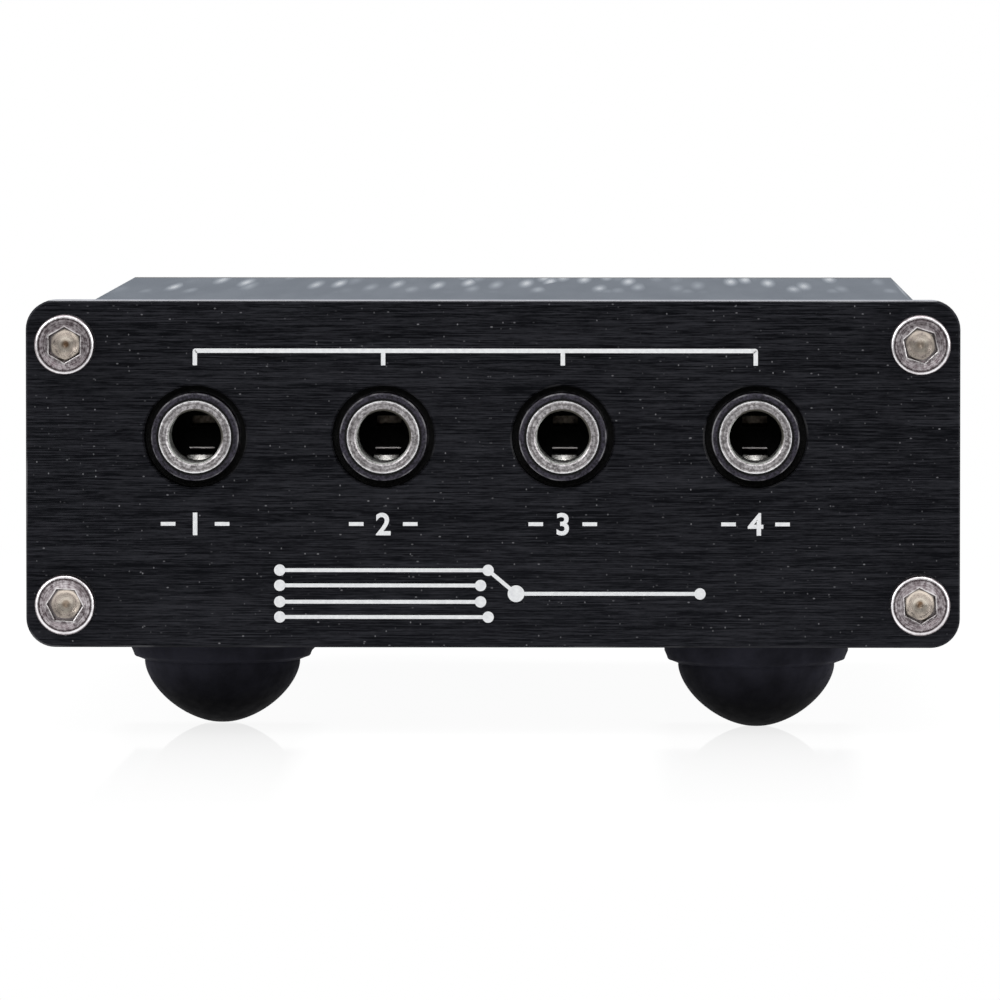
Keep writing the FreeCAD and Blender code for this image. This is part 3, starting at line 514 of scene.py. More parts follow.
def makeCloudyFinish(name, sizes):
    material, tree, shader = newFinish(name, sizes)
    cloud = grain(tree, inMillimetres(tree), sizes["lump"], 3.0)
    colour = mottled(tree, cloud, cloudContrast, sizes)
    noisySurface(tree, shader, colour, cloud, sizes)
    return material


# moulded rubber of the feet, dusty and lighter with painted light under the flange, and clean and darker
# below as painted shade
mouldedRubber = {
    "specular": 0.04,
    "dusty": (0.027, 0.027, 0.037),
    "clean": (0.0035, 0.0035, 0.0045),
    "dustFrom": (1.6, 4.2),  # heights from the floor between which the dust and painted light come in
    "patch": (2.6, 0.3, 0.62, 0.35),  # size of the clouds, their contrast, and the least of the dust and painted light
    "roughness": (0.66, 0.82),
    "lump": 0.7,
    "height": 0.016,
}


def makeMouldedRubber(sizes):
    material, tree, shader = newFinish("foot_rubber", sizes)
    place = inMillimetres(tree)
    size, *clouds = sizes["patch"]
    dust = remap(tree, grain(tree, place, size, 3.0), *clouds)
    # painted light and shade: lighter up under the flange, darker towards the floor
    dust = times(tree, dust, remap(tree, alongAxis(tree, place, "Z"), *sizes["dustFrom"]))
    colour = tint(tree, dust, sizes["clean"], sizes["dusty"])
    noisySurface(tree, shader, colour, grain(tree, place, sizes["lump"], 3.0), sizes)
    return material


# turned nickel: satin clouds and fine rings round the axis, with bands of other tones, among them painted
# shade in grooves and recesses and painted highlight on edges
# fromAxis is the distance from the axis in millimetres, and below a mark that grows with the depth
# inside a mouth
turnedNickel = {
    "jack_nickel": {
        "metallic": 1.0,
        "colour": (0.68, 0.655, 0.665),
        "spots": (0.2, 0.185, 0.19),
        "bands": (  # what is measured, from, to, softness, tone
            ("fromAxis", 0.0, 1.86, 0.02, (0.84, 0.87, 0.82)),
            ("fromAxis", 2.25, 2.3, 0.02, (0.22, 0.2, 0.2)),
            # painted highlight: the outer edge near white
            ("fromAxis", 2.39, 9.0, 0.02, (1.0, 0.99, 1.0)),
            # painted shade: the recess deep in the mouth is dark
            ("below", 3.0, 99.0, 0.02, (0.045, 0.043, 0.04)),
        ),
        "matt": (1.9, 1.86, 1.0, 0.35),  # the bore: from, full, and how metallic at these radii
        "grime": {  # painted shade on the mouth's faces that look away from a side
            "radius": (1.97, 1.93),
            "side": (0.55, 0.0, 0.85),
            "away": (-0.05, -0.3),
            "tone": (0.085, 0.08, 0.068),
        },
        "roughness": (0.34, 0.54),
        "ring": 0.1,
        "ringShare": 0.35,
        "cloud": 0.17,
        "stain": (0.9, 0.62),  # size, and what it leaves of a tone
        "height": 0.014,
    },
    "screw_nickel": {
        "metallic": 1.0,
        "colour": (0.72, 0.67, 0.69),
        "spots": (0.18, 0.142, 0.154),
        "bands": (
            # painted shade: the groove inside the rim is dark
            ("fromAxis", 1.75, 1.8, 0.02, (0.06, 0.05, 0.05)),
            # painted highlight: the rim near white
            ("fromAxis", 1.85, 1.99, 0.03, (1.0, 0.98, 1.0)),
            ("fromAxis", 2.04, 9.0, 0.01, (0.42, 0.42, 0.43)),
            # painted highlight: the edge round the hexagon is pale
            ("below", 0.02, 0.2, 0.02, (0.9, 0.87, 0.87)),
            # painted shade: the socket's wall is dark
            ("below", 0.24, 9.0, 0.03, (0.03, 0.024, 0.02)),
            ("below", 1.06, 9.0, 0.02, (1.0, 0.88, 0.76)),
            ("below", 1.28, 9.0, 0.08, (1.0, 0.92, 0.8)),
            ("below", 1.42, 9.0, 0.05, (0.24, 0.15, 0.09)),
        ),
        "roughness": (0.24, 0.42),
        "ring": 0.14,
        "ringShare": 0.45,
        "cloud": 0.24,
        "stain": (1.5, 0.58),
        "height": 0.01,
    },
}
nickelContrast = {"tone": (0.42, 0.58), "stain": (0.38, 0.6), "band": (0.38, 0.52, 0.45)}


def makeTurnedNickel(name, sizes):
    material, tree, shader = newFinish(name, sizes)
    measured = {}
    for label in ("fromAxis", "below"):
        measured[label] = addNode(tree, "ShaderNodeAttribute", attribute_name=label).outputs["Fac"]
    rings = ringNoise(tree, measured["fromAxis"], sizes["ring"], 2.0)
    cloud = grain(tree, inMillimetres(tree), sizes["cloud"], 3.0, 0.6)
    mixed = blendOf(tree, [(rings, sizes["ringShare"]), (cloud, 1 - sizes["ringShare"])])
    stainSize, left = sizes["stain"]
    stain = grain(tree, inMillimetres(tree), stainSize, 2.0)
    stain = remap(tree, stain, *nickelContrast["stain"], left)
    clean = times(tree, remap(tree, mixed, *nickelContrast["tone"]), stain)
    colour = tint(tree, clean, sizes["spots"], sizes["colour"])
    bandCloud = remap(tree, mixed, *nickelContrast["band"])
    for label, low, high, soft, tone in sizes["bands"]:
        rising = remap(tree, measured[label], low - soft, low + soft)
        falling = remap(tree, measured[label], high + soft, high - soft)
        colour = tint(tree, times(tree, rising, falling, bandCloud, stain), colour, tone)
    # painted shade: the mouth is darker on its faces that look down or towards minus X
    if "grime" in sizes:
        grime = sizes["grime"]
        turned = vectorCalc(tree, "DOT_PRODUCT", faceNormal(tree), grime["side"])
        inside = remap(tree, measured["fromAxis"], *grime["radius"])
        colour = tint(tree, times(tree, remap(tree, turned, *grime["away"]), inside), colour, grime["tone"])
    if "matt" in sizes:
        metal = remap(tree, measured["fromAxis"], *sizes["matt"])
        tree.links.new(metal, shader.inputs["Metallic"])
    noisySurface(tree, shader, colour, mixed, sizes, narrowSpread)
    return material


# moulded collar of a jack: dark, a little purple, dusty and with a painted highlight at its rim, and with
# painted shade where it meets the sleeve and down in the hole
collarPlastic = {
    "specular": 0.22,
    "colour": (0.042, 0.0375, 0.055),
    "spots": (0.007, 0.0062, 0.0095),
    "contrast": (0.38, 0.6),
    "dust": (0.2, 0.195, 0.21),
    "dustPatch": (1.1, 0.44, 0.62),  # size, and where the dust and painted rim highlight begin and are full
    # colour of the painted shade at the seam and down in the hole
    "dirt": (0.0012, 0.0012, 0.0016),
    "seam": (2.7, 2.61),  # radii between which painted shade darkens it towards the sleeve
    "rim": (2.89, 2.95),  # radii between which the dust and painted highlight begin
    "gap": (3.02, 3.1),  # and where painted shade makes it dark again, down in the hole
    "roughness": (0.34, 0.6),
    "cloud": 0.13,
    "height": 0.02,
}


def makeCollarPlastic(name, sizes, axis):
    material, tree, shader = newFinish(name, sizes)
    distance = awayFrom(tree, axis)
    cloud = grain(tree, inMillimetres(tree), sizes["cloud"], 3.0)
    colour = mottled(tree, cloud, sizes["contrast"], sizes)
    patch, few, many = sizes["dustPatch"]
    patches = remap(tree, grain(tree, inMillimetres(tree), patch, 3.0), few, many)
    # dust with a painted highlight on the rim
    dusty = times(tree, remap(tree, distance, *sizes["rim"]), patches)
    colour = tint(tree, dusty, colour, sizes["dust"])
    # painted shade towards the sleeve and down in the hole
    shadeMask = calc(tree, "MAXIMUM", remap(tree, distance, *sizes["seam"]), remap(tree, distance, *sizes["gap"]))
    colour = tint(tree, shadeMask, colour, sizes["dirt"])
    noisySurface(tree, shader, colour, cloud, sizes)
    return material


# turned and black anodised knob, with the tool's rings on its face
turnedBlack = {
    "specular": 0.32,
    "colour": (0.011, 0.011, 0.0125),
    "spots": (0.003, 0.003, 0.0036),
    "contrast": (0.38, 0.62),
    "ring": 0.14,
    "ringShare": 0.7,
    "cloud": 0.3,
    "roughness": (0.3, 0.46),
    "height": 0.006,
}


def makeTurnedBlack(sizes):
    material, tree, shader = newFinish("knob_aluminium", sizes)
    rings = ringNoise(tree, awayFrom(tree, middleOf("selector_knob")), sizes["ring"], 3.0)
    cloud = grain(tree, inMillimetres(tree), sizes["cloud"])
    mixed = blendOf(tree, [(rings, sizes["ringShare"]), (cloud, 1 - sizes["ringShare"])])
    colour = mottled(tree, mixed, sizes["contrast"], sizes)
    noisySurface(tree, shader, colour, mixed, sizes)
    return material


# lacquered board: weave under green lacquer, with tracks that show through
board = {
    "lacquer": (0.012, 0.09, 0.038),
    "track": (0.03, 0.17, 0.07),
    "trackPitch": 1.27,
    "trackUneven": 0.35,
    "trackEdge": (0.3, 0.36),
    "roughness": (0.24, 0.34),
    "weave": 0.35,
    "weaveStretch": (1, 1, 4),
    "height": 0.006,
}


def makeBoard(sizes):
    material, tree, shader = newFinish("circuit_board", sizes)
    inputs = {"Vector": inMillimetres(tree), "Scale": 1 / sizes["trackPitch"]}
    inputs["Randomness"] = sizes["trackUneven"]
    cells = addNode(tree, "ShaderNodeTexVoronoi", inputs, feature="F1", distance="MANHATTAN").outputs
    tracks = remap(tree, cells["Distance"], *sizes["trackEdge"])
    colour = tint(tree, tracks, sizes["track"], sizes["lacquer"])
    weave = grain(tree, inMillimetres(tree, stretch=sizes["weaveStretch"]), sizes["weave"], 1.0)
    rough = remap(tree, weave, *wideSpread, *sizes["roughness"])
    surface(tree, shader, colour, rough, calc(tree, "SUBTRACT", weave, tracks), sizes["height"])
    return material


def makeFinishes():
    made = {}
    for name, row in cloudyFinishes.items():
        made[name] = makeCloudyFinish(name, dict(zip(cloudyKeys, row)))
    for name, sizes in turnedNickel.items():
        made[name] = makeTurnedNickel(name, sizes)
    made["panel_brushed_black"] = makeBrushedBlack(brushedBlack)
    made["case_anodised"] = makeBlastedCase(blastedCase)
    made["circuit_board"] = makeBoard(board)
    made["knob_aluminium"] = makeTurnedBlack(turnedBlack)
    made["foot_rubber"] = makeMouldedRubber(mouldedRubber)
    return made


finishes = makeFinishes()
print("finishes made:", len(finishes))


def slotOf(nodeName):
    return nodes[nodeName].material_slots[0].material.name.split(".")[0]


def jackAxis(jackName):
    # middle of a jack's sleeve in metres, seen along Y
    low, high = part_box(jackName + "_sleeve")
    return ((low.x + high.x) / 2, 0.0, high.z - jack["sleeveAcross"] / 2 * mm)


# the two panels: local x to the right and y up as you face them, z out of the plate, in millimetres

def plateFrame(nodeName):
    low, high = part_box(nodeName)
    right, face = (mm, low.y) if low.y < 0 else (-mm, high.y)
    return Matrix(((right, 0, 0, 0), (0, 0, -right, face), (0, mm, 0, 0), (0, 0, 0, 1)))


plates = {"input": plateFrame("input_panel"), "selector": plateFrame("selector_panel")}


def settle(piece, slotName, *replaced):
    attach(piece, "case")
    if replaced:
        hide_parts(*replaced)


def newPiece(name, mesh, finish=None):
    if finish:
        mesh.materials.append(finish)
    return placed(name, mesh)


sharpFrom = math.radians(32)


def crispen(mesh):
    mesh.shade_smooth()
    mesh.set_sharp_from_angle(angle=sharpFrom)


def joinMeshes(name, meshes):
    joined = bmesh.new()
    for mesh in meshes:
        joined.from_mesh(mesh)
    result = bpy.data.meshes.new(name)
    joined.to_mesh(result)
    joined.free()
    return result


# turned bodies: each ring is its radius, or how far it reaches at an angle, its height on the axis,
# and inside a mouth also its mark of depth

def hexReach(flats):
    side = math.pi / 3
    return lambda angle: flats / 2 / math.cos((angle + side / 2) % side - side / 2)


def roundedRim(radius, top, rounding, steps=5):
    # rings of a quarter round, from the side up to the top
    rings = []
    for step in range(steps + 1):
        turn = math.pi / 2 * step / steps
        reach = radius - rounding * (1 - math.cos(turn))
        rings.append((reach, top - rounding * (1 - math.sin(turn))))
    return rings


def turnedMesh(name, rings, steps, hollow=False):
    # a hollow body's last ring meets its first; others close with a point on the axis at each end
    spots = []
    depths = []
    for reach, height, *depth in rings:
        for step in range(steps):
            angle = 2 * math.pi * step / steps
            out = reach(angle) if callable(reach) else reach
            spots.append((out * math.cos(angle), out * math.sin(angle), height))
            depths.append(sum(depth))
    count = len(rings)
    faces = []
    for ring in range(count if hollow else count - 1):
        after = (ring + 1) % count
        for step in range(steps):
            ahead = (step + 1) % steps
            corners = (ring * steps + step, ring * steps + ahead, after * steps + ahead, after * steps + step)
            faces.append(corners)
    if not hollow:
        for ring in (0, count - 1):
            spots.append((0.0, 0.0, rings[ring][1]))
            depths.append(depths[ring * steps])
            middle = len(spots) - 1
            faces += [(ring * steps + s, ring * steps + (s + 1) % steps, middle) for s in range(steps)]
    mesh = bpy.data.meshes.new(name)
    mesh.from_pydata(spots, [], faces)
    working = bmesh.new()
    working.from_mesh(mesh)
    bmesh.ops.recalc_face_normals(working, faces=working.faces)
    working.to_mesh(mesh)
    working.free()
    measured = {"fromAxis": [math.hypot(x, y) for x, y, height in spots], "below": depths}
    for label, values in measured.items():
        mesh.attributes.new(label, "FLOAT", "POINT").data.foreach_set("value", values)
    crispen(mesh)
    return mesh


# geometry nodes: a tree with named inputs grows a piece out of a seed mesh

socketKinds = {float: "NodeSocketFloat", tuple: "NodeSocketVector"}


def newTree(name, inputs):
    tree = bpy.data.node_groups.new(name, "GeometryNodeTree")
    tree.interface.new_socket("Seed", in_out="INPUT", socket_type="NodeSocketGeometry")
    for label, value in inputs.items():
        tree.interface.new_socket(label, in_out="INPUT", socket_type=socketKinds[type(value)])
    tree.interface.new_socket("Finish", in_out="INPUT", socket_type="NodeSocketMaterial")
    tree.interface.new_socket("Grown", in_out="OUTPUT", socket_type="NodeSocketGeometry")
    return tree, tree.nodes.new("NodeGroupInput").outputs


def endTree(tree, given, grown):
    real = outOf(tree, "GeometryNodeRealizeInstances", {"Geometry": grown})
    done = outOf(tree, "GeometryNodeSetMaterial", {"Geometry": real, "Material": given["Finish"]})
    tree.links.new(done, tree.nodes.new("NodeGroupOutput").inputs[0])
    return tree


def growMesh(name, tree, seed, finish, inputs):
    # the seed is in millimetres; so is the mesh that comes back
    grower = placed(name, seed)
    modifier = grower.modifiers.new(tree.name, "NODES")
    modifier.node_group = tree
    values = dict(inputs, Finish=finish)
    for item in tree.interface.items_tree:
        if item.in_out == "INPUT" and item.name in values:
            modifier[item.identifier] = values[item.name]
    mesh = meshFrom(grower)
    mesh.name = name
    return mesh


# cap screws of the two panels, one turned mesh copied to the four corners
capScrew = {
    "headAcross": 4.1,
    "headHeight": 2.0,
    "rimRound": 0.23,
    "grooveDepth": 0.05,
    "grooveEdges": (0.025, 0.05, 0.08),  # in from the rim: wall, floor, face
    "faceDrop": 0.02,
    "socketFlats": 2.15,
    "socketLead": (0.09, 0.05),  # width and depth of the edge round the hexagon
    "socketDepth": 1.2,
    "socketMarks": (0.0, 0.2, 1.0),  # of depth: at the face, under the edge, at the bottom
    "floorDrop": 0.35,
    "pit": (  # radius as a share of the flats, share of the drop, mark of depth
        (0.41, 0.04, 1.1),
        (0.33, 0.36, 1.22),
        (0.2, 0.7, 1.36),
        (0.05, 1.0, 1.5),
    ),
    "footRound": 0.08,
    "shank": 1.76,
    "shankLength": 7.0,
    "threadPitch": 0.4,
    "threadDepth": 0.12,
    "steps": 60,
    "turns": (27.0, 0.0, 3.0, 12.0),  # degrees: left low, left high, right low, right high
}


def screwMesh(sizes):
    head = sizes["headAcross"] / 2
    top = sizes["headHeight"]
    core = sizes["shank"] / 2
    root = core - sizes["threadDepth"]
    pitch = sizes["threadPitch"]
    rings = [(root - sizes["threadDepth"], -sizes["shankLength"])]
    for turn in range(int(sizes["shankLength"] / pitch), 0, -1):
        rings += [(root, -turn * pitch), (core, (0.5 - turn) * pitch)]
    rings += [(core, 0.0), (head - sizes["footRound"], 0.0), (head, sizes["footRound"])]
    rings += roundedRim(head, top, sizes["rimRound"])
    inner = head - sizes["rimRound"]
    groove = top - sizes["grooveDepth"]
    face = top - sizes["faceDrop"]
    rings += [(inner - far, height) for far, height in zip(sizes["grooveEdges"], (groove, groove, face))]
    flats = sizes["socketFlats"]
    leadWidth, leadDepth = sizes["socketLead"]
    bottom = top - sizes["socketDepth"]
    reaches = map(hexReach, (flats + leadWidth * 2, flats, flats))
    rings += zip(reaches, (face, face - leadDepth, bottom), sizes["socketMarks"])
    for share, drop, depth in sizes["pit"]:
        rings.append((flats * share, bottom - sizes["floorDrop"] * drop, depth))
    return turnedMesh("cap_screw", rings, sizes["steps"])


turnLabels = ["Turn %d" % corner for corner in range(4)]


def cornerTree():
    inputs = {"Pitch across": 0.0, "Pitch up": 0.0, "Middle": (0.0, 0.0, 0.0)}
    inputs.update(dict.fromkeys(turnLabels, 0.0))
    tree, given = newTree("four corners", inputs)
    sizes = {"Size X": given["Pitch across"], "Size Y": given["Pitch up"], "Vertices X": 2, "Vertices Y": 2}
    corners = outOf(tree, "GeometryNodeMeshGrid", sizes)
    inputs = {"Geometry": corners, "Translation": given["Middle"]}
    corners = outOf(tree, "GeometryNodeTransform", inputs)
    choice = addNode(tree, "GeometryNodeIndexSwitch", data_type="FLOAT")
    while len(choice.index_switch_items) < len(turnLabels):
        choice.index_switch_items.new()
    tree.links.new(outOf(tree, "GeometryNodeInputIndex"), choice.inputs["Index"])
    for corner, label in enumerate(turnLabels):
        tree.links.new(given[label], choice.inputs[str(corner)])
    turn = outOf(tree, "ShaderNodeCombineXYZ", {"Z": choice.outputs[0]})
    inputs = {"Points": corners, "Instance": given["Seed"], "Rotation": turn}
    return endTree(tree, given, outOf(tree, "GeometryNodeInstanceOnPoints", inputs))


def makeScrews(sizes):
    tree = cornerTree()
    seed = screwMesh(sizes)
    for side, plate in plates.items():
        node = side + "_panel_screws"
        low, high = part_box(node)
        size = (high - low) / mm
        middle = plate.inverted() @ middleOf(node)
        inputs = {
            "Pitch across": size.x - sizes["headAcross"],
            "Pitch up": size.z - sizes["headAcross"],
            "Middle": (middle.x, middle.y, 0.0),
        }
        inputs.update(zip(turnLabels, map(math.radians, sizes["turns"])))
        mesh = growMesh(node + "_turned", tree, seed, finishes["screw_nickel"], inputs)
        mesh.transform(plate)
        crispen(mesh)
        settle(newPiece(node + "_turned", mesh), "screw_nickel", node)


makeScrews(capScrew)
print("screws made")


# strips bent along a line: springs of the jacks, and printed lines

strip = {
    "bendSteps": 6,
    "edgeSteps": 2,
    "edgeShare": 0.2,  # of the lesser of width and thickness, rounded off
}


def cornersCut(tree, curve, radius, count):
    inputs = {"Curve": curve, "Radius": radius, "Count": count, "Limit Radius": True}
    return outOf(tree, "GeometryNodeFilletCurve", inputs, mode="POLY")


def stripTree(sizes):
    inputs = {"Across": (1.0, 0.0, 0.0), "Width": 1.0, "Thickness": 1.0, "Bend": 0.1}
    tree, given = newTree("bent strip", inputs)
    curve = outOf(tree, "GeometryNodeMeshToCurve", {"Mesh": given["Seed"]})
    curve = cornersCut(tree, curve, given["Bend"], sizes["bendSteps"])
    inputs = {"Curve": curve, "Normal": given["Across"]}
    curve = outOf(tree, "GeometryNodeSetCurveNormal", inputs, mode="FREE")
    width, thickness = given["Width"], given["Thickness"]
    section = outOf(tree, "GeometryNodeCurvePrimitiveQuadrilateral", {"Width": width, "Height": thickness})
    edge = times(tree, calc(tree, "MINIMUM", width, thickness), sizes["edgeShare"])
    section = cornersCut(tree, section, edge, sizes["edgeSteps"])
    inputs = {"Curve": curve, "Profile Curve": section, "Fill Caps": True}
    return endTree(tree, given, outOf(tree, "GeometryNodeCurveToMesh", inputs))


bentStrip = stripTree(strip)


def lineMesh(name, lines):
    # polylines as loose edges, in millimetres
    spots = []
    edges = []
    for line in lines:
        edges += [(len(spots) + step, len(spots) + step + 1) for step in range(len(line) - 1)]
        spots += line
    mesh = bpy.data.meshes.new(name)
    mesh.from_pydata(spots, edges, [])
    return mesh


# jacks: depths are from the panel's face, heights from the jack's axis
jack = {
    "sleeveAcross": 5.0,
    "bore": 3.6,
    "proud": 0.5,
    "length": 5.1,
    "mouthBevel": 0.18,
    "bevelSlope": 0.4,
    "edge": 0.1,
    "edgeInset": 0.3,
    "stepAt": 1.25,  # where the bore widens, and where it narrows again
    "lipAt": 4.0,
    "stepOut": 0.26,
    "lipEdge": 0.08,
    "steps": 96,
    "stripWidth": 1.75,
    "thickness": {"tip_spring": 0.09},
    "usualThickness": 0.15,
    "bend": {"ring_spring": 0.04},
    "usualBend": 0.14,
    "legWidth": 0.8,
    "legEnd": -6.75,
    "parts": {  # finish, and depth and upper end of the leg
        "sleeve": ("jack_nickel", 3.4, -2.3),
        "ring_spring": ("contact_metal", 9.6, -2.0),
        "tip_spring": ("dull_metal", 13.4, -2.0),
        "rear_contact": ("tarnished_metal", 16.095, -2.0),
    },
    "strips": {
        "ring_spring": ((9.6, -2.3), (9.6, -1.95), (7.3, -1.54), (6.97, -1.54), (6.9, -2.15)),
        "tip_spring": ((13.4, -2.3), (13.4, -1.9), (12.3, -1.42), (10.9, -1.22)),
        "rear_contact": ((14.705, 0.85), (14.705, 0.25), (16.095, 0.25), (16.095, -2.3)),
    },
}


def sleeveMesh(name, sizes):
    outer = sizes["sleeveAcross"] / 2
    bore = sizes["bore"] / 2
    top = sizes["proud"]
    wide = bore + sizes["stepOut"]
    edge, lip, bevel = sizes["edge"], sizes["lipEdge"], sizes["mouthBevel"]
    inset, slope = sizes["edgeInset"], sizes["bevelSlope"]
    step = top - sizes["stepAt"]
    end = top - sizes["lipAt"]
    tail = top - sizes["length"]
    mark = sizes["lipAt"]  # of depth, which darkens the recess as painted shade
    rings = [
        (outer, tail),
        (outer, top - edge),
        (outer - edge * inset, top - edge * inset),
        (outer - edge, top),
        (bore + bevel, top),
        (bore + bevel * slope, top - bevel * slope),
        (bore, top - bevel * (1 + slope)),
        (bore, step),
        (wide, step - edge, mark),
        (wide, end, mark),
        (bore + lip, end),
        (bore, end - lip),
        (bore, tail),
    ]
    return turnedMesh(name, rings, sizes["steps"], hollow=True)


def stripMesh(name, sizes, part, line, width, finish):
    seed = lineMesh(name, [[(0.0, height, -depth) for depth, height in line]])
    inputs = {"Across": (1.0, 0.0, 0.0), "Width": width}
    inputs["Thickness"] = sizes["thickness"].get(part, sizes["usualThickness"])
    inputs["Bend"] = sizes["bend"].get(part, sizes["usualBend"])
    mesh = growMesh(name, bentStrip, seed, finish, inputs)
    crispen(mesh)
    return mesh


def makeJack(jackName, plate, sizes):
    axis = plate.inverted() @ Vector(jackAxis(jackName))
    place = plate @ Matrix.Translation((axis.x, axis.y, 0.0))
    for part, (finishName, depth, start) in sizes["parts"].items():
        name = jackName + "_" + part
        finish = finishes[finishName]
        if part == "sleeve":
            shape = sleeveMesh(name, sizes)
        else:
            shape = stripMesh(name, sizes, part, sizes["strips"][part], sizes["stripWidth"], finish)
        line = ((depth, start), (depth, sizes["legEnd"]))
        leg = stripMesh(name, sizes, "leg", line, sizes["legWidth"], finish)
        mesh = joinMeshes(name, [shape, leg])
        mesh.transform(place)
        mesh.materials.clear()
        settle(newPiece(name + "_formed", mesh, finish), slotOf(name), name)


jackNames = ["input_%d_jack" % number for number in range(1, 5)]
for jackName in jackNames:
    makeJack(jackName, plates["input"], jack)
makeJack("output_jack", plates["selector"], jack)
print("jacks made")


# rubber feet: flange, groove and a dome that comes to a soft point
foot = {
    "flange": 12.74,
    "flangeTaper": 5.25,  # from this height down the flange draws in
    "flangeLow": 12.36,
    "flangeRound": 0.22,
    "flangeBottom": 4.6,  # heights from the floor
    "ledge": (11.1, 4.44),
    "groove": (10.8, 4.37),
    "root": (10.84, 4.28),
    "contact": 0.7,
    "fullness": 1.66,  # 2 is an ellipse; less is more pointed
    "roundSteps": 3,
    "domeSteps": 26,
    "steps": 96,
}


def footMesh(name, sizes, top):
    bottom = sizes["flangeBottom"]
    rim = roundedRim(sizes["flangeLow"] / 2, bottom, sizes["flangeRound"], sizes["roundSteps"])
    rings = [(sizes["flange"] / 2, top), (sizes["flange"] / 2, sizes["flangeTaper"])]
    rings += [(reach, 2 * bottom - height) for reach, height in rim]  # turned upside down
    rings += [(across / 2, height) for across, height in (sizes["ledge"], sizes["groove"])]
    rootRadius, rootHeight = sizes["root"][0] / 2, sizes["root"][1]
    contact = sizes["contact"] / 2
    for step in range(sizes["domeSteps"] + 1):
        turn = math.pi / 2 * step / sizes["domeSteps"]
        out = max(math.cos(turn), 0.0) ** (2 / sizes["fullness"])
        down = math.sin(turn) ** (2 / sizes["fullness"])
        rings.append((contact + (rootRadius - contact) * out, rootHeight * (1 - down)))
    return turnedMesh(name, rings, sizes["steps"])


def makeFeet(sizes):
    for end in ("front", "rear"):
        for side in ("left", "right"):
            node = "foot_%s_%s" % (end, side)
            mesh = footMesh(node, sizes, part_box(node)[1].z / mm)
            centre = middleOf(node)
            place = Matrix.Translation((centre.x, centre.y, 0.0))
            mesh.transform(place @ Matrix.Diagonal((mm, mm, mm, 1.0)))
            piece = newPiece(node + "_moulded", mesh, finishes["foot_rubber"])
            piece.visible_glossy = end == "front"  # the floor mirrors only the front pair
            settle(piece, "foot_rubber", node)


makeFeet(foot)
print("feet made")


# print on the plates: numbers, a bracket over the inputs and a four to one diagram
ink = {
    "thickness": 0.03,
    "sunk": 0.015,
    "corner": 0.05,
    "dotSteps": 32,
    "dotRise": 0.006,  # of a dot over the lines that end in it
    "numberHeight": 1.55,
    "numberWeight": 0.035,
    "numberBase": 13.7,
    "dashes": (1.35, 2.35, 0.26),  # from, to and width, beside each number
    "bracket": (26.35, 25.35, 0.3),  # height of the bar, end of the ticks, width
    "diagramMiddle": (1.6, 9.7),
    "diagramRadius": 2.5,
    "diagramAngles": (140.0, 167.0, 193.0, 220.0),
    "diagramEnds": (-14.6, 14.2),
    "diagramLine": 0.26,
    "diagramDots": (0.78, 1.15),  # contacts and ends, pivot
    "dialNumbers": 10.6,  # radius, from the shaft
    "dialNumberHeight": 1.5,
    "dialTick": (8.7, 9.4, 0.28),  # from, to, width
    "firstPosition": 45.0,  # degrees from straight up, towards the first position
    "positionStep": -30.0,
}


def strokeMesh(name, lines, width):
    seed = lineMesh(name, [[(x, y, 0.0) for x, y in line] for line in lines])
    inputs = {"Across": (0.0, 0.0, 1.0), "Width": ink["thickness"], "Thickness": width, "Bend": ink["corner"]}
    return growMesh(name, bentStrip, seed, finishes["pointer_white"], inputs)


def dotMesh(name, x, y, across):
    half = ink["thickness"] / 2
    mesh = turnedMesh(name, [(across / 2, -half), (across / 2, half + ink["dotRise"])], ink["dotSteps"])
    mesh.transform(Matrix.Translation((x, y, 0.0)))
    return mesh


def numberMesh(text, height, x, y):
    # the number stands with the middle of its foot at x, y
    curve = bpy.data.curves.new("number", "FONT")
    curve.body = text
    curve.extrude = 0.5  # 1 thick, until it is scaled
    curve.offset = ink["numberWeight"] / height
    mesh = meshFrom(placed("number", curve))
    low = [min(v.co[axis] for v in mesh.vertices) for axis in range(2)]
    high = [max(v.co[axis] for v in mesh.vertices) for axis in range(2)]
    scale = height / (high[1] - low[1])
    mesh.transform(Matrix.Translation((-(low[0] + high[0]) / 2, -low[1], 0.0)))
    mesh.transform(Matrix.Diagonal((scale, scale, ink["thickness"], 1.0)))
    mesh.transform(Matrix.Translation((x, y, 0.0)))
    return mesh


def printOn(plate, name, meshes):
    mesh = joinMeshes(name, meshes)
    mesh.transform(plate @ Matrix.Translation((0.0, 0.0, ink["thickness"] / 2 - ink["sunk"])))
    mesh.materials.clear()
    mesh.shade_flat()
    settle(newPiece(name, mesh, finishes["pointer_white"]), "pointer_white")


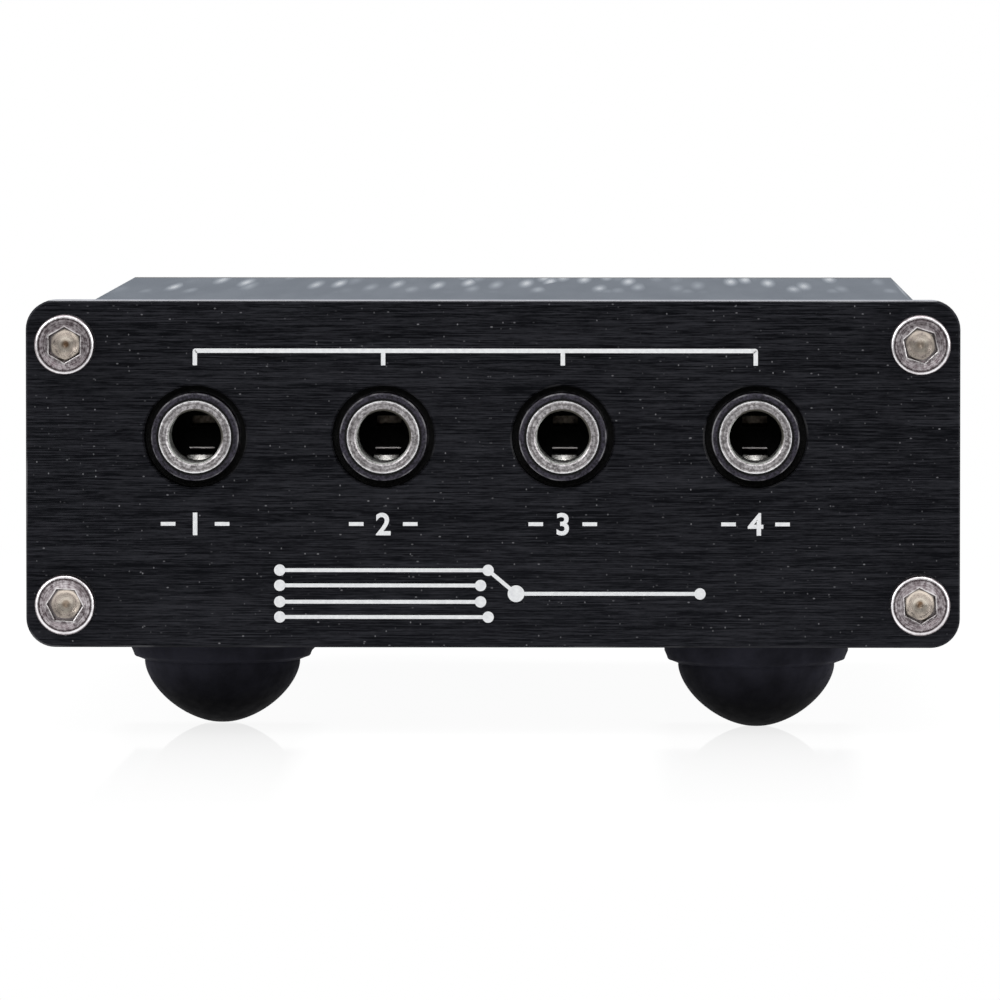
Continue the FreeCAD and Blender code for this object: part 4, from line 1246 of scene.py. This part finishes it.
def inputPrint(plate, sizes):
    places = [plate.inverted() @ Vector(jackAxis(jackName)) for jackName in jackNames]
    near, far, width = sizes["dashes"]
    middle = sizes["numberBase"] + sizes["numberHeight"] / 2
    meshes = []
    for number, place in enumerate(places, 1):
        meshes.append(numberMesh(str(number), sizes["numberHeight"], place.x, sizes["numberBase"]))
        dashes = [[(place.x + side * near, middle), (place.x + side * far, middle)] for side in (-1, 1)]
        meshes.append(strokeMesh("dashes", dashes, width))
    printOn(plate, "input_numbers", meshes)
    bar, end, width = sizes["bracket"]
    first, last = places[0].x, places[-1].x
    lines = [[(first, end), (first, bar), (last, bar), (last, end)]]
    lines += [[(place.x, bar - width / 2), (place.x, end)] for place in places[1:-1]]
    printOn(plate, "input_bracket", [strokeMesh("bracket", lines, width)])


def diagramPrint(plate, sizes):
    x, y = sizes["diagramMiddle"]
    start, end = sizes["diagramEnds"]
    small, large = sizes["diagramDots"]
    lines = [[(x, y), (end, y)]]
    meshes = [dotMesh("pivot", x, y, large), dotMesh("outlet", end, y, small)]
    contacts = []
    radius = sizes["diagramRadius"]
    for turn in map(math.radians, sizes["diagramAngles"]):
        contacts.append((x + radius * math.cos(turn), y + radius * math.sin(turn)))
    for spotX, spotY in contacts:
        lines.append([(start, spotY), (spotX, spotY)])
        meshes += [dotMesh("contact", spotX, spotY, small), dotMesh("inlet", start, spotY, small)]
    lines.append([(x, y), contacts[0]])
    meshes.append(strokeMesh("diagram", lines, sizes["diagramLine"]))
    printOn(plate, "switching_diagram", meshes)


def dialPrint(plate, sizes):
    centre = plate.inverted() @ middleOf("selector_knob")
    near, far, width = sizes["dialTick"]
    ticks = []
    meshes = []
    for position in range(len(jackNames)):
        turn = math.radians(sizes["firstPosition"] + position * sizes["positionStep"])
        aside, up = -math.sin(turn), math.cos(turn)
        ticks.append([(centre.x + aside * r, centre.y + up * r) for r in (near, far)])
        x = centre.x + aside * sizes["dialNumbers"]
        y = centre.y + up * sizes["dialNumbers"] - sizes["dialNumberHeight"] / 2
        meshes.append(numberMesh(str(position + 1), sizes["dialNumberHeight"], x, y))
    meshes.append(strokeMesh("ticks", ticks, width))
    printOn(plate, "position_marks", meshes)


inputPrint(plates["input"], ink)
diagramPrint(plates["input"], ink)
dialPrint(plates["selector"], ink)
print("print made")


def finishNodes():
    for name, node in nodes.items():
        slotName = slotOf(name)
        if slotName == "jack_plastic":
            material = makeCollarPlastic(name, collarPlastic, jackAxis(name.replace("_housing", "")))
        elif slotName == "contact_metal" and "rear" in name:
            material = finishes["tarnished_metal"]
        else:
            material = finishes[slotName]
        node.material_slots[0].material = material


finishNodes()
print("nodes finished")
